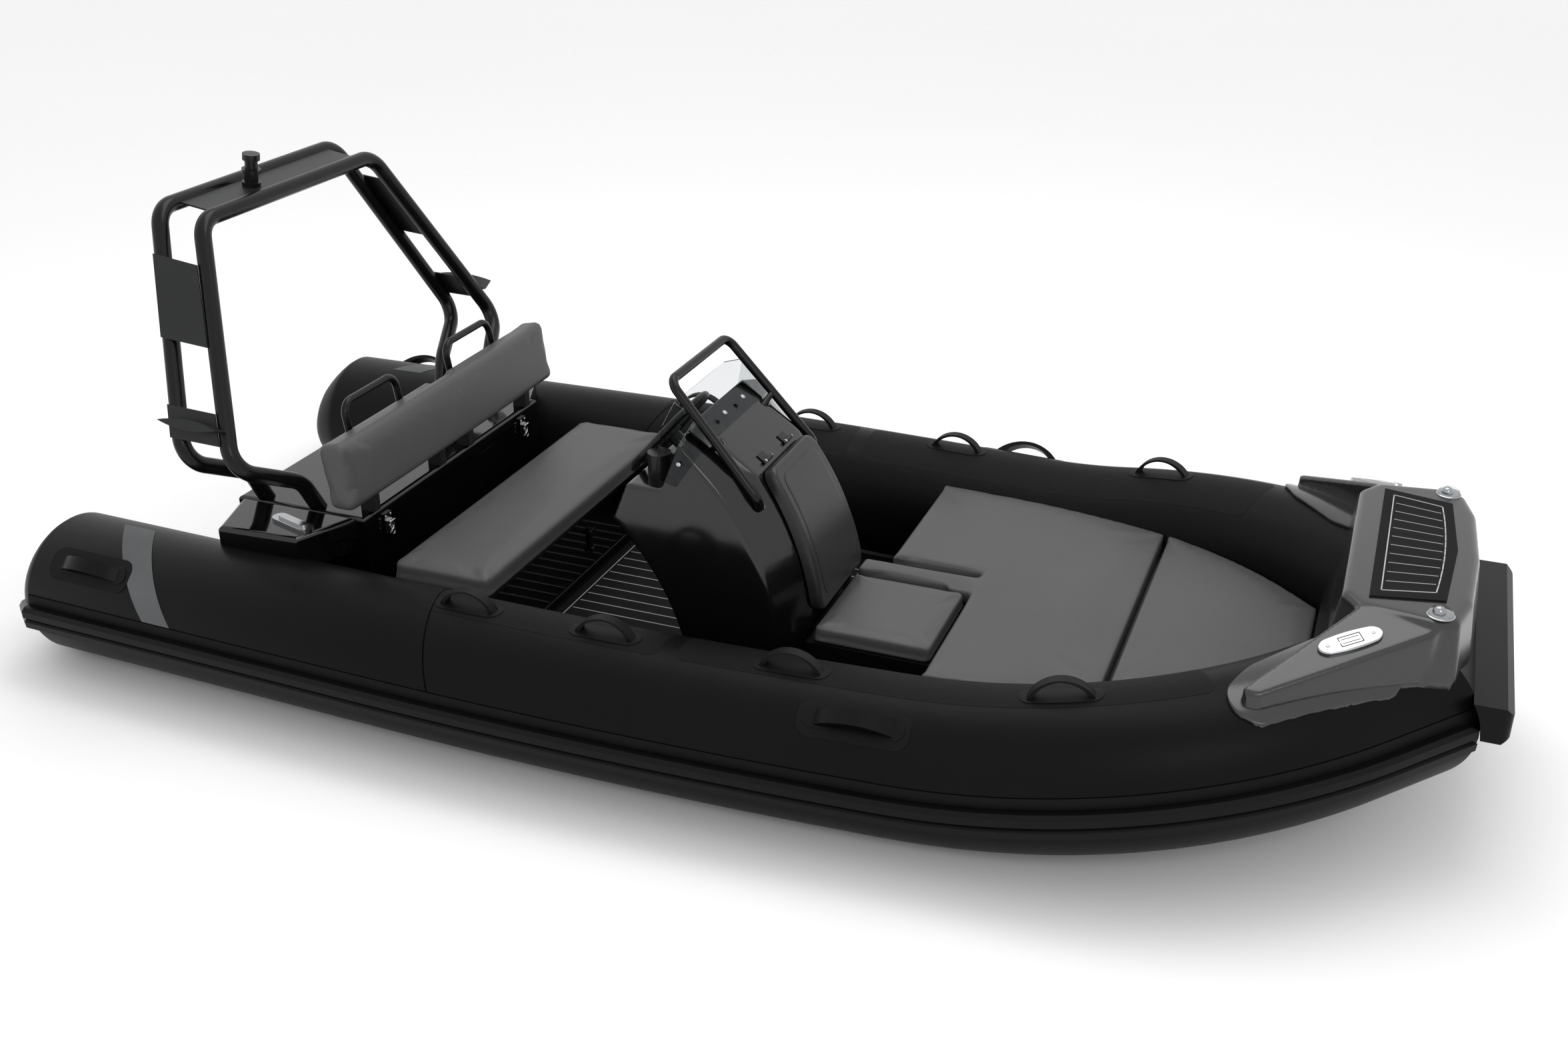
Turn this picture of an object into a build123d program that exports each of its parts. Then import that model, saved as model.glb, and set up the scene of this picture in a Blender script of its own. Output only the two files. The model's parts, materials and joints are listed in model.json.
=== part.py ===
import os
from math import asin, atan2, cos, degrees, radians, sin, sqrt

from build123d import *

os.makedirs("parts", exist_ok=True)

# Frame: X forward to the bow, Y to port, Z up, Z = 0 on the waterline. All sizes in mm.

# Seats: how far a piece lies off the piece that carries it, and the room round a moving piece
seat = 0.3
run = 6.0

# Buoyancy tube, port side: straight stern, long side bend, sheer rise, bow bend, mitred cross tube
tube_radius = 241.0
tube_stern_x = -2320.0
tube_stern_y = 851.0
tube_stern_z = 247.0
tube_toe_deg = 1.586
tube_straight = 1371.0
side_bend_radius = 15870.0
side_bend_deg = 5.94
sheer_radius = 2362.0
sheer_deg = 8.70
bow_bend_radius = 1355.0
bow_bend_deg = 39.65
bow_corner_y = 312.0
tail_length = 152.0
tail_radius = 142.0
tail_drop = 52.0
tail_round = 38.0

# Rubbing strake and bow fender
strake_top_deg = 5.3
strake_low_deg = -15.5
strake_ridge = 36.0
strake_groove = 24.0
strake_tail_share = 0.62
fender_proud = 74.0
fender_top_deg = 31.0
fender_low_deg = 3.0
fender_half = 467.0
fender_round = 26.0

# Grab straps on the crown and moulded carry handles on the shoulder: distances from the stern
strap_length = 205.0
strap_rise = 58.0
strap_width = 34.0
strap_thick = 7.0
strap_distances = (1625.0, 2100.0, 2696.0, 3520.0)
carry_length = 262.0
carry_rise = 54.0
carry_width = 46.0
carry_thick = 13.0
carry_places = ((238.0, 45.0), (2930.0, 51.0))

# Rigid hull, deck and transom
deck_top = 50.0
deck_thick = 20.0
keel_z = -300.0
transom_x = -1880.0
stem_aft_x = 1450.0
stem_aft_half = 420.0
stem_aft_chine = 350.0
stem_aft_chine_z = -25.0
stem_aft_rise = 150.0
stem_mid_x = 1780.0
stem_mid_half = 240.0
stem_mid_chine = 200.0
stem_mid_chine_z = 70.0
stem_mid_rise = 330.0
stem_top_rise = 90.0
pad_half = 590.0
pad_corner = 45.0
locker_stations = (800.0, 1050.0, 1300.0, 1435.0)
locker_nose_x = 1700.0
locker_nose_rise = 85.0
transom_thick = 45.0
transom_top = 420.0
transom_notch_z = 260.0
transom_notch_half = 260.0
engine_bolt_upper = 327.0
engine_bolt_lower = 250.8
engine_bolt_rise = 203.2
engine_bolt_radius = 6.5
pad_thick = 5.0

# Cushions and lockers in the bow
cushion_top = 420.0
cushion_thick = 55.0
front_seat_aft = 300.0
front_seat_fwd = 693.0
front_seat_stbd = -510.0
front_seat_port = -100.0
slot_width = 27.0
strip_width = 85.0
arm_aft = 382.0
tip_seam_x = 1228.0
tip_end_x = 1790.0

# Bow step moulding: a raised middle and two wings whose tops fall outboard
step_top = 782.0
step_base = 560.0
step_aft = 1838.0
step_lip = 50.0
step_half = 368.0
step_front = 2196.0
step_skin = 6.0
step_round = 26.0
step_lean_deg = 7.0
wing_root_x = 1885.0
wing_root_out = 75.0
wing_root_z = 775.0
wing_fall = 0.457
wing_tip_x = 1635.0
wing_tip_y = 748.0
wing_front_x = 2091.0
wing_front_out = 107.0
wing_round = 9.0
flange_wide = 44.0
step_pad_aft = 1910.0
step_pad_fwd = 2112.0
cleat_length = 190.0
cleat_width = 52.0
cleat_height = 20.0
lamp_radius = 36.0

# Helm console: front curve about one centre, side crease behind it
console_y = -258.0
console_half = 310.0
console_nose_half = 190.0
front_face_x = 288.0
front_centre_z = 305.5
front_radius = 948.0
front_top_z = 880.6349
crease_back = 78.0
crease_top_z = 898.8386
console_ridge_x = -115.0
console_ridge_z = 1034.0
ridge_drop = 38.0
shelf_aft_x = -297.0
shelf_fwd_x = -178.0
shelf_z = 836.0
knee_x = -351.0
knee_z = 704.0
console_base_aft = -90.0
console_waist_x = -160.0
console_waist_z = 430.0
console_base_fwd = 282.0
console_front_low = 395.0
hatch_thick = 40.0
hinge_y = 85.0
hinge_length = 44.0
hatch_low_z = 435.7974
hatch_top_half = 172.0
hatch_low_half = 201.0
screen_thick = 5.0
screen_low = 168.0
screen_high = 338.0
screen_drop = 16.0
pane_half = 194.0
rail_radius = 15.0
wheel_radius = 165.0
wheel_rim = 13.0
wheel_x = -288.0
wheel_z = 895.0
wheel_tilt_deg = 40.0

# Bench, stern locker and backrest
bench_aft = -1139.0
bench_fwd = -757.0
bench_top = 460.0
bench_cushion = 72.0
bench_lid_thick = 14.0
bench_half = 680.0
bench_box_fwd = -835.0
bench_box_half = 600.0
knuckle_radius = 6.0
knuckle_length = 40.0
knuckle_places = (420.0, 0.0, -420.0)
wall = 14.0
locker_front_x = -1285.0
locker_aft_gap = 80.0
quarter_low = 430.0
quarter_front = 120.0
quarter_front_y = 800.0
quarter_aft = 420.0
quarter_aft_y = 820.0
latch_y = 465.0
latch_z = 478.0
latch_plate = 8.0
latch_width = 42.0
latch_height = 84.0
locker_half = 592.0
locker_top = 550.0
back_low_z = 615.0
back_high_z = 862.0
back_front_x = -1245.0
back_thick = 105.0
back_lean = 34.0
back_half = 690.0
back_round = 28.0
bracket_places = (515.0, 97.0)
hoop_places = ((165.0, 468.0),)
hoop_radius = 13.0

# Roll bar: corners of the two hoops
bar_radius = 28.0
bar_bend = 95.0
bar_top_half = 485.0
bar_low_half = 835.0
fore_top = (-1867.0, 1494.0)
fore_low = (-1596.0, 778.0)
fore_foot = (-1485.0, 540.0)
aft_top = (-2036.0, 1519.0)
aft_low = (-1790.0, 780.0)
aft_foot = (-1700.0, 545.0)
light_y = -112.0

UP = Vector(0, 0, 1)


def bend(start, along, toward, radius, angle_deg):
    # Half-way point, end point, end direction and end side direction of one bend
    angle = radians(angle_deg)
    centre = start + toward * radius
    half = centre - toward * (radius * cos(angle / 2)) + along * (radius * sin(angle / 2))
    end = centre - toward * (radius * cos(angle)) + along * (radius * sin(angle))
    return half, end, along * cos(angle) + toward * sin(angle), toward * cos(angle) - along * sin(angle)


def flip(points):
    # The same points on the starboard side, listed back to front
    return [(x, -y, z) for x, y, z in reversed(points)]


def both_sides(points):
    # A closed plan outline from its port half
    return points + [(x, -y) for x, y in reversed(points)]


def bent_path(points, radius):
    # A line through the points with each inner corner rounded
    spots = [Vector(*p) for p in points]
    start = spots[0]
    for i in range(1, len(spots) - 1):
        back = (spots[i - 1] - spots[i]).normalized()
        ahead = (spots[i + 1] - spots[i]).normalized()
        half_angle = radians(back.get_angle(ahead)) / 2
        reach = radius * cos(half_angle) / sin(half_angle)
        middle = (back + ahead).normalized()
        centre = spots[i] + middle * (radius / sin(half_angle))
        first = spots[i] + back * reach
        last = spots[i] + ahead * reach
        Line(start, first)
        ThreePointArc(first, centre - middle * radius, last)
        start = last
    Line(start, spots[-1])


def tube_along(points, radius, corner):
    # A round bar that follows a bent path
    with BuildPart() as bar:
        with BuildLine() as line:
            bent_path(points, corner)
        along = (Vector(*points[1]) - Vector(*points[0])).normalized()
        with BuildSketch(Plane(Vector(*points[0]), z_dir=along)):
            Circle(radius)
        sweep(path=line.wire())
    return bar.part


# Centreline of the port tube
toe = radians(tube_toe_deg)
p0 = Vector(tube_stern_x, tube_stern_y, tube_stern_z)
d0 = Vector(cos(toe), sin(toe), 0)
in0 = Vector(sin(toe), -cos(toe), 0)
p1 = p0 + d0 * tube_straight
m2, p2, d2, in2 = bend(p1, d0, in0, side_bend_radius, side_bend_deg)
m3, p3, d3, up3 = bend(p2, d2, UP, sheer_radius, sheer_deg)
m4, p4, d4, in4 = bend(p3, d3, in2, bow_bend_radius, bow_bend_deg)
corner = p4 + d4 * ((p4.Y - bow_corner_y) / -d4.Y)
p5 = corner + d4 * tube_radius * 1.2
mitre = (d4 + Vector(0, -1, 0)).normalized()

with BuildLine() as tube_line:
    Line(p0, p1)
    ThreePointArc(p1, m2, p2)
    ThreePointArc(p2, m3, p3)
    ThreePointArc(p3, m4, p4)
    Line(p4, p5)
tube_path = tube_line.wire()
start_plane = Plane(p0, x_dir=in0 * -1, z_dir=d0)


def tube_frame(distance):
    # Centre, direction, outward and upward directions of the port tube at a distance from the stern
    share = distance / tube_path.length
    along = tube_path.tangent_at(share)
    rise = (UP - along * UP.dot(along)).normalized()
    return tube_path.position_at(share), along, along.cross(rise) * -1, rise


def tube_y(x):
    # Half-breadth of the tube's centreline at a station
    share = (x - p0.X) / (p4.X - p0.X) * (1 - (p5 - p4).length / tube_path.length)
    for step in range(8):
        share += (x - tube_path.position_at(share).X) / tube_path.length / max(tube_path.tangent_at(share).X, 0.3)
        share = min(max(share, 0.0), 1.0)
    return tube_path.position_at(share).Y


# Side tube with a dropped cone at the stern and a mitred bow end
tail_end = p0 - d0 * tail_length + in0 * (tail_drop * 0.35) - UP * tail_drop
with BuildPart() as tube_port:
    with BuildSketch(start_plane):
        Circle(tube_radius)
    sweep(path=tube_path)
    split(bisect_by=Plane(corner - mitre * (seat / 2), z_dir=mitre), keep=Keep.BOTTOM)
    with BuildSketch(start_plane):
        Circle(tube_radius)
    with BuildSketch(Plane(tail_end, x_dir=in0 * -1, z_dir=d0)):
        Circle(tail_radius)
    loft(ruled=True)
    fillet(tube_port.edges().sort_by(Axis.X)[0], radius=tail_round)
tube_port.part.label = "tube_port"
tube_starboard = tube_port.part.mirror(Plane.XZ)
tube_starboard.label = "tube_starboard"

# Straight cross tube at the bow
mitre_stbd = Vector(mitre.X, -mitre.Y, mitre.Z)
corner_stbd = Vector(corner.X, -corner.Y, corner.Z)
with BuildPart() as tube_bow:
    with BuildSketch(Plane(Vector(corner.X, 0, corner.Z), x_dir=(1, 0, 0), z_dir=(0, 1, 0))):
        Circle(tube_radius)
    extrude(amount=bow_corner_y + tube_radius, both=True)
    split(bisect_by=Plane(corner + mitre * (seat / 2), z_dir=mitre), keep=Keep.TOP)
    split(bisect_by=Plane(corner_stbd + mitre_stbd * (seat / 2), z_dir=mitre_stbd), keep=Keep.TOP)
tube_bow.part.label = "tube_bow"

# Room that the tubes take out of the pieces seated on them
with BuildPart() as room:
    with BuildSketch(start_plane):
        Circle(tube_radius + seat)
    sweep(path=tube_path)
    split(bisect_by=Plane(corner, z_dir=mitre), keep=Keep.BOTTOM)
room_port = room.part
room_stbd = room_port.mirror(Plane.XZ)
with BuildPart() as bow_room:
    with BuildSketch(Plane(Vector(corner.X, 0, corner.Z), x_dir=(1, 0, 0), z_dir=(0, 1, 0))):
        Circle(tube_radius + seat)
    extrude(amount=bow_corner_y + tube_radius, both=True)
    split(bisect_by=Plane(corner, z_dir=mitre), keep=Keep.TOP)
    split(bisect_by=Plane(corner_stbd, z_dir=mitre_stbd), keep=Keep.TOP)


def ring(radius, angle_deg):
    # Point beside the tube's centre, outward and up
    return radius * cos(radians(angle_deg)), radius * sin(radians(angle_deg))


# Rubber strake with two ridges, running on round the tail
strake_mid = (strake_top_deg + strake_low_deg) / 2
skin = tube_radius + seat
with BuildSketch(start_plane) as strake_profile:
    with BuildLine():
        ThreePointArc(ring(skin, strake_low_deg), ring(skin, strake_mid), ring(skin, strake_top_deg))
        Polyline(
            ring(skin, strake_top_deg),
            ring(skin + strake_groove, strake_top_deg - 0.6),
            ring(skin + strake_ridge, strake_top_deg - 3.2),
            ring(skin + strake_ridge, strake_mid + 2.4),
            ring(skin + strake_groove, strake_mid + 0.6),
            ring(skin + strake_ridge, strake_mid - 1.2),
            ring(skin + strake_ridge, strake_low_deg + 4.4),
            ring(skin + strake_groove * 0.6, strake_low_deg + 1.0),
            ring(skin, strake_low_deg),
        )
    make_face()
tail_side = (tail_end + in0 * -tail_radius) - (p0 + in0 * -tube_radius)
with BuildPart() as strake_port:
    add(strake_profile.sketch)
    sweep(path=tube_path)
    split(bisect_by=Plane((0, fender_half + 1, 0), z_dir=(0, 1, 0)), keep=Keep.TOP)
    add(strake_profile.sketch)
    extrude(amount=tail_side.length * strake_tail_share, dir=tail_side.normalized())
strake_port.part.label = "strake_port"
strake_starboard = strake_port.part.mirror(Plane.XZ)
strake_starboard.label = "strake_starboard"

# Bow fender bar
fender_x = corner.X + tube_radius + fender_proud
with BuildPart() as bow_fender:
    with BuildSketch(Plane(Vector(corner.X, 0, corner.Z), x_dir=(1, 0, 0), z_dir=(0, -1, 0))):
        with BuildLine():
            top = ring(skin, fender_top_deg)
            low = ring(skin, fender_low_deg)
            ThreePointArc(top, ring(skin, (fender_top_deg + fender_low_deg) / 2), low)
            Polyline(
                low,
                (tube_radius + fender_proud * 0.72, low[1]),
                (tube_radius + fender_proud, low[1] + fender_proud * 0.28),
                (tube_radius + fender_proud, top[1] - fender_proud * 0.28),
                (tube_radius + fender_proud * 0.72, top[1]),
                top,
            )
        make_face()
    extrude(amount=fender_half, both=True)
    ends = bow_fender.faces().filter_by(Axis.Y)
    outer = [e for f in ends for e in f.edges() if e.center().X > corner.X + tube_radius + fender_proud * 0.9]
    fillet(outer, radius=fender_round)
bow_fender.part.label = "bow_fender"


def arch(place, length, rise, thick, width):
    # A strap bowed up from the tube between two feet
    with BuildPart() as bow:
        with BuildSketch(place):
            with BuildLine():
                ThreePointArc((-length / 2, -14), (0, rise), (length / 2, -14))
                Line((length / 2, -14), (length / 2 - thick * 2.4, -14))
                ThreePointArc((length / 2 - thick * 2.4, -14), (0, rise - thick), (thick * 2.4 - length / 2, -14))
                Line((thick * 2.4 - length / 2, -14), (-length / 2, -14))
            make_face()
        extrude(amount=width / 2, both=True)
    return bow.part


# Grab straps along the crown
with BuildPart() as straps:
    for distance in strap_distances:
        spot, along, outward, rise = tube_frame(distance)
        add(arch(Plane(spot + rise * tube_radius, x_dir=along, z_dir=along.cross(rise)), strap_length, strap_rise,
                 strap_thick, strap_width))
    add(room_port, mode=Mode.SUBTRACT)
straps.part.label = "grab_straps_port"
straps_stbd = straps.part.mirror(Plane.XZ)
straps_stbd.label = "grab_straps_starboard"

# Moulded carry handles on the shoulder
with BuildPart() as carries:
    for distance, shoulder in carry_places:
        spot, along, outward, rise = tube_frame(distance)
        normal = outward * cos(radians(shoulder)) + rise * sin(radians(shoulder))
        add(arch(Plane(spot + normal * tube_radius, x_dir=along, z_dir=along.cross(normal)), carry_length,
                 carry_rise, carry_thick, carry_width))
    add(room_port, mode=Mode.SUBTRACT)
carries.part.label = "carry_handles_port"
carries_stbd = carries.part.mirror(Plane.XZ)
carries_stbd.label = "carry_handles_starboard"

# Vee hull: keel, chine, cradle under the tube and a flat inside that carries the deck
deck_low = deck_top - deck_thick
stations = (
    # x, keel z, chine half-breadth, chine z
    (transom_x, keel_z + 10, 600.0, -95.0),
    (-900.0, keel_z, 610.0, -92.0),
    (0.0, keel_z, 605.0, -90.0),
    (700.0, keel_z + 22, 555.0, -75.0),
    (1050.0, keel_z + 60, 480.0, -55.0),
    (1450.0, keel_z + 150, 350.0, -25.0),
)
cradle_out = 62.0
cradle_in = 150.0
cradle_rise = 58.0
with BuildPart() as hull:
    for x, keel, chine, chine_z in stations:
        y = tube_y(x)
        with BuildSketch(Plane((x, 0, 0), x_dir=(0, 1, 0), z_dir=(1, 0, 0))):
            Polygon(
                (0, keel), (chine, chine_z), (y - cradle_out, 8), (y - cradle_in, cradle_rise),
                (y - cradle_in - 12, deck_low), (cradle_in + 12 - y, deck_low), (cradle_in - y, cradle_rise),
                (cradle_out - y, 8), (-chine, chine_z), align=None,
            )
    loft(ruled=True)
    add(room_port, mode=Mode.SUBTRACT)
    add(room_stbd, mode=Mode.SUBTRACT)
stem_x = corner.X + 10
stem_top = corner.Z - tube_radius
stem_mid_top = deck_low + stem_top_rise
with BuildPart() as stem:
    with BuildSketch(Plane((stem_aft_x + seat, 0, 0), x_dir=(0, 1, 0), z_dir=(1, 0, 0))):
        Polygon((0, keel_z + stem_aft_rise), (stem_aft_chine, stem_aft_chine_z), (stem_aft_half, deck_low),
                (-stem_aft_half, deck_low), (-stem_aft_chine, stem_aft_chine_z), align=None)
    with BuildSketch(Plane((stem_mid_x, 0, 0), x_dir=(0, 1, 0), z_dir=(1, 0, 0))):
        Polygon((0, keel_z + stem_mid_rise), (stem_mid_chine, stem_mid_chine_z), (stem_mid_half, stem_mid_top),
                (-stem_mid_half, stem_mid_top), (-stem_mid_chine, stem_mid_chine_z), align=None)
    with BuildSketch(Plane((stem_x, 0, 0), x_dir=(0, 1, 0), z_dir=(1, 0, 0))):
        Polygon((0, stem_top - 40), (40, stem_top), (60, stem_top + 20), (-60, stem_top + 20), (-40, stem_top),
                align=None)
    loft(ruled=True)
    add(room_port, mode=Mode.SUBTRACT)
    add(room_stbd, mode=Mode.SUBTRACT)
    add(bow_room.part, mode=Mode.SUBTRACT)
hull.part.label = "hull"
stem.part.label = "stem"

# Deck plate lying on the hull
deck_in = cradle_in + 14
deck_outline = [(max(x, transom_x + transom_thick + 2), tube_y(x) - deck_in) for x, *rest in stations]
with BuildPart() as deck:
    with BuildSketch(Plane.XY.offset(deck_low)):
        Polygon(*both_sides(deck_outline), align=None)
    extrude(amount=deck_thick)
deck.part.label = "deck"

# Foam deck panels between bench and console and beside the console
with BuildPart() as deck_pads:
    with BuildSketch(Plane.XY.offset(deck_top)):
        aft_pad = (bench_box_fwd + 20, console_base_aft - 12)
        with Locations(((aft_pad[0] + aft_pad[1]) / 2, 0)):
            RectangleRounded(aft_pad[1] - aft_pad[0], 2 * pad_half, pad_corner)
        side_low = console_y + console_half + 14
        with Locations(((console_base_aft + console_base_fwd) / 2, (side_low + pad_half) / 2)):
            RectangleRounded(console_base_fwd - console_base_aft - 8, pad_half - side_low, pad_corner - 5)
    extrude(amount=pad_thick)
deck_pads.part.label = "deck_pads"

# Transom plate with a lowered engine pad and its bolt holes
transom_half = tube_y(transom_x) - tube_radius - 22
with BuildPart() as transom:
    with BuildSketch(Plane((transom_x, 0, 0), x_dir=(0, 1, 0), z_dir=(1, 0, 0))):
        Polygon(
            (-transom_half, deck_low + seat), (transom_half, deck_low + seat), (transom_half, transom_top),
            (transom_notch_half + 40, transom_top), (transom_notch_half, transom_notch_z),
            (-transom_notch_half, transom_notch_z), (-transom_notch_half - 40, transom_top),
            (-transom_half, transom_top), align=None,
        )
    extrude(amount=transom_thick)
    bolt_z = transom_notch_z - 55
    with BuildSketch(Plane((transom_x - 1, 0, 0), x_dir=(0, 1, 0), z_dir=(1, 0, 0))):
        with Locations((engine_bolt_upper / 2, bolt_z), (-engine_bolt_upper / 2, bolt_z)):
            Circle(engine_bolt_radius)
    extrude(amount=transom_thick + 2, mode=Mode.SUBTRACT)
transom.part.label = "transom"

# Locker base under the bow cushions
cushion_low = cushion_top - cushion_thick
inner = tube_radius - 26
base_xs = (arm_aft + 10, *locker_stations)
strip_in = front_seat_port + slot_width
strip_out = strip_in + strip_width
arm_in = strip_out + slot_width + 10
with BuildPart() as bow_locker:
    with BuildSketch(Plane.XY.offset(deck_top)):
        port_side = [(x, tube_y(x) - inner) for x in base_xs]
        stbd_side = [(x, -y) for x, y in reversed(port_side[1:])]
        Polygon(
            (console_base_fwd + 4, front_seat_stbd - 6), (console_base_fwd + 4, strip_out - 8),
            (arm_aft + 10, strip_out - 8), *port_side, *stbd_side,
            (front_seat_fwd + 20, inner - tube_y(front_seat_fwd)),
            (front_seat_fwd + 20, front_seat_stbd - 6), align=None,
        )
    extrude(amount=cushion_low - seat - deck_top)
    with BuildSketch(Plane.XY.offset(deck_top + locker_nose_rise)):
        nose = [(x, tube_y(x) - inner) for x in (base_xs[-1], locker_nose_x)]
        Polygon(*both_sides(nose), align=None)
    extrude(amount=cushion_low - seat - deck_top - locker_nose_rise)
    add(room_port, mode=Mode.SUBTRACT)
    add(room_stbd, mode=Mode.SUBTRACT)
bow_locker.part.label = "bow_locker"

# Bow cushion with a port arm and a strip beside the front seat
with BuildPart() as bow_cushion:
    with BuildSketch(Plane.XY.offset(cushion_low)):
        Polygon(
            (front_seat_fwd + 10, -900), (front_seat_fwd + 10, front_seat_port + 4),
            (front_seat_fwd - 70, front_seat_port + 4), (front_seat_fwd - 70, strip_in), (front_seat_aft, strip_in),
            (front_seat_aft, strip_out), (front_seat_fwd + 10, strip_out), (front_seat_fwd + 10, arm_in),
            (arm_aft, arm_in), (arm_aft, 900), (tip_seam_x - 2, 900), (tip_seam_x - 2, -900), align=None,
        )
    extrude(amount=cushion_thick)
    add(room_port, mode=Mode.SUBTRACT)
    add(room_stbd, mode=Mode.SUBTRACT)
    keep_middle = bow_cushion.solids().sort_by(lambda s: abs(s.center().Y))[0]
with BuildPart() as bow_cushion_main:
    add(keep_middle)
bow_cushion_main.part.label = "bow_cushion"

with BuildPart() as tip_cut:
    with BuildSketch(Plane.XY.offset(cushion_low)):
        Polygon((tip_seam_x + 2, -900), (tip_end_x, -900), (tip_end_x, 900), (tip_seam_x + 2, 900), align=None)
    extrude(amount=cushion_thick)
    add(room_port, mode=Mode.SUBTRACT)
    add(room_stbd, mode=Mode.SUBTRACT)
    add(bow_room.part, mode=Mode.SUBTRACT)
    tip_middle = tip_cut.solids().sort_by(lambda s: abs(s.center().Y))[0]
with BuildPart() as tip_cushion:
    add(tip_middle)
tip_cushion.part.label = "bow_tip_cushion"

with BuildPart() as front_seat:
    with BuildSketch(Plane.XY.offset(cushion_low)):
        Polygon(
            (front_seat_aft, front_seat_stbd), (front_seat_fwd, front_seat_stbd),
            (front_seat_fwd, front_seat_port), (front_seat_aft, front_seat_port), align=None,
        )
    extrude(amount=cushion_thick)
    fillet(front_seat.edges().filter_by(Axis.Z), radius=22)
    fillet(front_seat.faces().sort_by(Axis.Z)[-1].edges(), radius=12)
front_seat.part.label = "front_seat_cushion"

# Bow step: raised middle with a lip, two wings that taper aft and a flange that lies on the tubes
wing_root_y = step_half + wing_root_out
wing_front_y = step_half + wing_front_out
wing_line = Vector(wing_front_x - wing_tip_x, wing_front_y - wing_tip_y, 0).normalized()
wing_out = Vector(-wing_line.Y, wing_line.X, 0)
wing_outline = [
    (wing_root_x + 25, wing_root_y - 41), (wing_front_x + 39, wing_front_y - 55), (wing_front_x, wing_front_y + 12),
    (wing_tip_x + 42, wing_tip_y + 16), (wing_tip_x + 8, wing_tip_y + 18), (wing_tip_x - 6, wing_tip_y - 4),
]


def beside_wing(share, off):
    # Point beside the wing's outer foot, from tip to front
    base = Vector(wing_tip_x + 42, wing_tip_y + 16, 0)
    end = Vector(wing_front_x, wing_front_y + 12, 0)
    spot = base + (end - base) * share + wing_out * off
    return (spot.X, spot.Y)


flange = [
    (step_aft + 4, 0.0), (step_aft + 4, step_half + 14), (wing_root_x - 120, wing_root_y - 18),
    (wing_tip_x - 2, wing_tip_y - 138), (wing_tip_x - 42, wing_tip_y - 36), (wing_tip_x - 36, wing_tip_y),
    (wing_tip_x - 10, wing_tip_y + 28), beside_wing(0.0, flange_wide * 0.55), beside_wing(0.5, flange_wide * 0.4),
    beside_wing(1.02, flange_wide * 0.15), (step_front + 4, step_half + 2), (step_front + 30, step_half - 120),
    (step_front + 36, 0.0),
]
with BuildPart() as wing_port:
    with BuildSketch(Plane.XY.offset(step_base - 140)):
        Polygon(*wing_outline, align=None)
    extrude(amount=step_top - step_base + 160)
    wing_top = Plane((wing_root_x, wing_root_y, wing_root_z), x_dir=(1, 0, 0), z_dir=(0, wing_fall, 1))
    split(bisect_by=wing_top, keep=Keep.BOTTOM)
    outer_edges = wing_port.faces().sort_by(Axis.Z)[-1].edges().sort_by(Axis.Y)[1:]
    fillet(outer_edges, radius=wing_round)
    split(bisect_by=Plane.XY.offset(step_top - 4), keep=Keep.BOTTOM)
with BuildPart() as flange_prism:
    with BuildSketch(Plane.XY.offset(step_base - 20)):
        Polygon(*both_sides(flange), align=None)
    extrude(amount=300.0)
with BuildPart() as flange_port:
    with BuildSketch(start_plane):
        Circle(tube_radius + step_skin)
    sweep(path=tube_path)
    split(bisect_by=Plane(corner, z_dir=mitre), keep=Keep.BOTTOM)
    add(room_port, mode=Mode.SUBTRACT)
    add(flange_prism.part, mode=Mode.INTERSECT)
with BuildPart() as flange_bow:
    with BuildSketch(Plane(Vector(corner.X, 0, corner.Z), x_dir=(1, 0, 0), z_dir=(0, 1, 0))):
        Circle(tube_radius + step_skin)
        Circle(tube_radius + seat, mode=Mode.SUBTRACT)
    extrude(amount=bow_corner_y + tube_radius, both=True)
    split(bisect_by=Plane(corner, z_dir=mitre), keep=Keep.TOP)
    split(bisect_by=Plane(corner_stbd, z_dir=mitre_stbd), keep=Keep.TOP)
    add(flange_prism.part, mode=Mode.INTERSECT)
    split(bisect_by=Plane((0, 0, step_base), z_dir=(0, 0, 1)), keep=Keep.TOP)
step_outline = [
    (step_aft, 0.0), (step_aft, step_half), (wing_root_x, wing_root_y - 6), (wing_front_x - 4, wing_front_y - 6),
    (wing_front_x + 58, wing_front_y - 44), (step_front - 14, step_half - 68), (step_front, 0.0),
]
with BuildPart() as bow_step:
    with BuildSketch(Plane.XY.offset(step_top)):
        Polygon(*both_sides(step_outline), align=None)
    extrude(amount=step_base - step_top, taper=-step_lean_deg)
    fillet(bow_step.faces().sort_by(Axis.Z)[-1].edges(), radius=step_round)
    add(wing_port.part)
    add(wing_port.part.mirror(Plane.XZ))
    with BuildSketch(Plane.XY.offset(step_top - 9)):
        with Locations((step_aft + step_lip + 3, 0)):
            Rectangle(6, step_half * 2 + 30)
    extrude(amount=12, mode=Mode.SUBTRACT)
    add(room_port, mode=Mode.SUBTRACT)
    add(room_stbd, mode=Mode.SUBTRACT)
    add(bow_room.part, mode=Mode.SUBTRACT)
    add(flange_port.part)
    add(flange_port.part.mirror(Plane.XZ))
    add(flange_bow.part)
bow_step.part.label = "bow_step"

# Foam pad on the step
with BuildPart() as step_pad:
    with BuildSketch(Plane.XY.offset(step_top)):
        Polygon(
            (step_pad_aft, -step_half - 14), (step_pad_fwd, -step_half + 30), (step_pad_fwd + 22, 0),
            (step_pad_fwd, step_half - 30), (step_pad_aft, step_half + 14), align=None,
        )
    extrude(amount=pad_thick)
step_pad.part.label = "bow_step_pad"


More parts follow.
